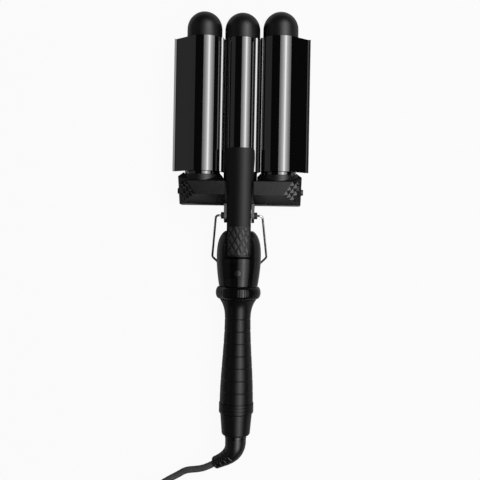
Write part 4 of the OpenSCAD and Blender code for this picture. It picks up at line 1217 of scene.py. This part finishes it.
# ---- Lever ----
# Long moulded thumb lever of matte nylon, crowned like the barrel it holds. A plain cover closes
# the hollow under its arm.
lever = eased(copied("lever_arm", "lever_shell"), 0.45, 3)
arm = Finish("lever nylon")
arm_spark = arm.noise(1300, 3)
arm_wear = arm.noise(40, 4, (1, 0.3, 1))
lever.data.materials.append(arm.done(
    Base_Color=arm.between(arm_wear, (0.0040, 0.0040, 0.0043), (0.0065, 0.0065, 0.0070)),
    Roughness=arm.spread(arm_wear, 0.34, 0.43),
    Specular_IOR_Level=0.24,
    Normal=arm.bumps(arm_spark, 0.25, 0.00014),
))
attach(lever, "lever")
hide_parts("lever_shell")
coat(matte_black, "lever_cover")


# ---- Thumb pad ----
# Soft-touch rubber insert in the lever's lower end, moulded with long raised diamonds between
# crossing grooves. It follows the lever's crown.
PAD_X = 9.85
PAD_S0, PAD_S1 = 163.5, 190.0
PAD_R = 19.1
GROOVE_STEEP = math.radians(61)
pad = drawn(
    "thumb_pad_rubber",
    [at(-PAD_X, PAD_S0, 0), at(PAD_X, PAD_S0, 0), at(PAD_X, PAD_S1, 0), at(-PAD_X, PAD_S1, 0)],
    Vector((0, 0, 0.001)),
)
only(pad)
bpy.ops.object.mode_set(mode="EDIT")
for lean, spacing in ((-1, 6.8), (1, 4.7)):
    square = Vector((math.sin(GROOVE_STEEP), lean * math.cos(GROOVE_STEEP), 0))
    for i in range(-7, 8):
        bpy.ops.mesh.select_all(action="SELECT")
        bpy.ops.mesh.bisect(plane_co=at((i + 0.35) * spacing, 176, 0), plane_no=square)
only_faces(pad, lambda polygon: polygon.normal.z > 0.9 and polygon.area > 2e-6)
# The groove's floor, the flank and the eased top of each diamond: width and rise
for width, rise in ((0.38, 0), (0.28, 0.5), (0.3, 0.08)):
    bpy.ops.mesh.inset(use_individual=True, thickness=width / 1000, depth=rise / 1000)
bpy.ops.mesh.subdivide(number_cuts=2)
bpy.ops.object.mode_set(mode="OBJECT")
top = max(vertex.co.z for vertex in pad.data.vertices)
for vertex in pad.data.vertices:
    below = top - vertex.co.z
    vertex.co.z = (
        math.sqrt((PAD_R / 1000 - min(below, 0.0017)) ** 2 - vertex.co.x ** 2) + AXIS_HEIGHT / 1000
    )
tidied(pad)
soft_touch = Finish("soft touch rubber")
from_axis = soft_touch.away_from(at(0, MID, 0), (1, 0, 1))
# The grooves below the diamonds' tops are painted near black, as painted shade in the grooves. The
# tops get the rubber's own grey, with its wear.
painted_groove_shade = soft_touch.spread(from_axis, 0, 1, 0.0187, 0.0190)
touch_grain = soft_touch.noise(1500, 2)
touch_wear = soft_touch.noise(70, 3)
pad.data.materials.append(soft_touch.done(
    Base_Color=soft_touch.between(
        painted_groove_shade, (0.0008, 0.0008, 0.0008),
        soft_touch.between(touch_wear, (0.014, 0.014, 0.0143), (0.021, 0.021, 0.0214)),
    ),
    Roughness=soft_touch.spread(touch_wear, 0.40, 0.50),
    Normal=soft_touch.bumps(touch_grain, 0.18, 0.0001),
))
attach(pad, "lever")
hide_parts("thumb_pad")


# ---- Cord tie and plug ----
# Woven black strap around the coil, with its end lapped over itself, and a rubber plug moulded
# around two brass blades.
TIE_WIDE = 12
TIE_TURN = math.radians(20)
TIE_LOW = COIL_OUT - LAYER_WIDTH - 3 - 1.5 - 0.35
TIE_SPAN = LAYER_WIDTH + 6 + 1.9 + 0.7
TIE_TALL = (COIL_LAYERS - 1) * LAYER_STEP + 6.4
STRAP_LOW = 0.36
STRAP_COLUMNS = 8
LAP_STEPS = 12


def round_coil(out, up, aside):
    """A point by its distance from the coil's middle, its height and its place across the strap."""
    return on_table(
        COIL_AT[0] + out * math.cos(TIE_TURN) - aside * math.sin(TIE_TURN),
        COIL_AT[1] + out * math.sin(TIE_TURN) + aside * math.cos(TIE_TURN), up,
    )


def strap_line(low, high, radius):
    found = []
    for corner, (x, y) in enumerate(
        ((high[0], low[1]), (high[0], high[1]), (low[0], high[1]), (low[0], low[1]))
    ):
        middle_x = x - radius if x == high[0] else x + radius
        middle_y = y - radius if y == high[1] else y + radius
        for i in range(9):
            a = math.radians(-90 + corner * 90 + i * 90 / 8)
            found.append((middle_x + radius * math.cos(a), middle_y + radius * math.sin(a)))
    return found


def across_strap(out, up, half):
    """A row of points across the strap."""
    return [
        body.verts.new(round_coil(out, up, -half + 2 * half * k / STRAP_COLUMNS))
        for k in range(STRAP_COLUMNS + 1)
    ]


def woven(here, there, start, end):
    """Faces between two rows, with start and end as V of the UV map."""
    for k in range(STRAP_COLUMNS):
        face = body.faces.new((here[k], here[k + 1], there[k + 1], there[k]))
        face.smooth = True
        corners = ((k, start), (k + 1, start), (k + 1, end), (k, end))
        for loop, (u, v) in zip(face.loops, corners):
            loop[wrap].uv = (u / STRAP_COLUMNS * TIE_WIDE / 10, v)


body = bmesh.new()
wrap = body.loops.layers.uv.new("UVMap")
rows = [
    across_strap(out, up, TIE_WIDE / 2)
    for out, up in strap_line(
        (TIE_LOW, STRAP_LOW), (TIE_LOW + TIE_SPAN, STRAP_LOW + TIE_TALL), 3.3
    )
]
lap_rows = [
    across_strap(
        TIE_LOW + 4.5 + (TIE_SPAN - 7) * i / LAP_STEPS, STRAP_LOW + TIE_TALL + 0.72,
        TIE_WIDE / 2 - 0.3,
    )
    for i in range(LAP_STEPS + 1)
]
run = 0
for here, there in zip(rows, rows[1:] + rows[:1]):
    step = (there[0].co - here[0].co).length * 100
    woven(here, there, run, run + step)
    run += step
for i in range(LAP_STEPS):
    woven(lap_rows[i], lap_rows[i + 1], i * 0.15, (i + 1) * 0.15)
tie = made_of(body, "coil_strap")
only(tie)
cloth = tie.modifiers.new("cloth", "SOLIDIFY")
cloth.thickness = 0.00066
cloth.offset = 0
bpy.ops.object.modifier_apply(modifier=cloth.name)
weave = Finish("woven strap")
weave.node("UVMap", {})
threads = weave.other("UV")
rows_seen, columns_seen = [
    weave.node("TexWave", {"wave_type": "BANDS", "bands_direction": way}, threads, Scale=18.0)
    for way in "YX"
]
# The threads' relief drives bump and roughness, and its low parts are painted darker, as painted
# shade in the hollows between threads.
weave_relief_and_shade = rows_seen * 0.6 + columns_seen * 0.4
tie.data.materials.append(weave.done(
    Base_Color=weave.between(weave_relief_and_shade, (0.006, 0.006, 0.007), (0.030, 0.030, 0.032)),
    Roughness=weave.spread(weave_relief_and_shade, 0.75, 0.92, 0, 1),
    Normal=weave.bumps(weave_relief_and_shade, 0.6, 0.0003),
))
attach(tie, "cord")
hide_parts("coil_tie")

plug = eased(copied("plug_moulded", "plug_body"), 0.7, 3)
plug_rubber = Finish("plug rubber")
plug_grain = plug_rubber.noise(900, 3)
plug.data.materials.append(plug_rubber.done(
    Base_Color=plug_rubber.between(
        plug_rubber.noise(50, 3), (0.006, 0.006, 0.0065), (0.010, 0.010, 0.0105)
    ),
    Roughness=plug_rubber.spread(plug_grain, 0.4, 0.55),
    Normal=plug_rubber.bumps(plug_grain, 0.25, 0.00015),
))
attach(plug, "cord")
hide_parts("plug_body")

brass = Finish("plug brass")
brass_lines = brass.noise(300, 4, (0.1, 1, 1))
coat(brass.done(
    Base_Color=brass.between(brass_lines, (0.55, 0.42, 0.18), (0.66, 0.52, 0.25)),
    Metallic=1.0,
    Roughness=brass.spread(brass_lines, 0.2, 0.35),
), "plug_blades")


# ---- Table and light ----
# White table, a tall soft box at the right, a weak one at the left, and a dim room around. The
# camera sees the table nearly white, and the tool mirrors it as grey.
bpy.ops.object.select_all(action="DESELECT")
bpy.ops.mesh.primitive_plane_add(size=12, location=(0, 0, 0))
table = bpy.context.object
table.name = "table"
paper = Finish("table white")
paper.node("LightPath", {})
seen_by_camera = paper.other("Is Camera Ray")
lit = paper.node("BsdfDiffuse", {}, (0.4, 0.4, 0.4, 1))
glow = paper.node("Emission", {}, (1, 1, 1, 1), 1.0)
mixed = paper.node("MixShader", {}, seen_by_camera * 0.94, lit, glow)
paper.node("OutputMaterial", {}, mixed)
table.data.materials.append(paper.material)

world = bpy.data.worlds.new("room")
world.use_nodes = True
bpy.context.scene.world = world
sky = world.node_tree.nodes["Background"]
sky.inputs["Color"].default_value = (1, 1, 1, 1)
sky_path = world.node_tree.nodes.new("ShaderNodeLightPath")
sky_mix = world.node_tree.nodes.new("ShaderNodeMapRange")
sky_mix.inputs["To Min"].default_value = 0.012
sky_mix.inputs["To Max"].default_value = 1.0
world.node_tree.links.new(sky_path.outputs["Is Camera Ray"], sky_mix.inputs["Value"])
world.node_tree.links.new(sky_mix.outputs["Result"], sky.inputs["Strength"])


def soft_box(name, direction, away, wide, tall, strength):
    """A lamp at an angle from straight up, towards the right, facing the tool."""
    lamp = bpy.data.lights.new(name, "AREA")
    lamp.shape = "RECTANGLE"
    lamp.size = wide
    lamp.size_y = tall
    lamp.energy = strength * wide * tall * math.pi
    holder = bpy.data.objects.new(name, lamp)
    bpy.context.collection.objects.link(holder)
    turn = math.radians(direction)
    holder.location = (away * math.sin(turn), 0, away * math.cos(turn))
    holder.rotation_euler = (0, turn, 0)


# The soft box is brightest along its middle: each layer is narrower, and a little further away
KEY_FROM = 28.5
KEY_AWAY = 1.3
KEY_TALL = 2.6
for layer, (half_angle, strength) in enumerate(
    ((29, 1.1), (21, 0.6), (16, 0.5), (10.5, 0.9), (4.5, 2.4))
):
    away = KEY_AWAY + 0.01 * layer
    wide = 2 * away * math.tan(math.radians(half_angle))
    soft_box(f"key_box_{layer}", KEY_FROM, away, wide, KEY_TALL, strength)
soft_box("left_box", -65, 1.2, 0.92, 2.0, 0.12)

bpy.context.scene.view_settings.view_transform = "Standard"
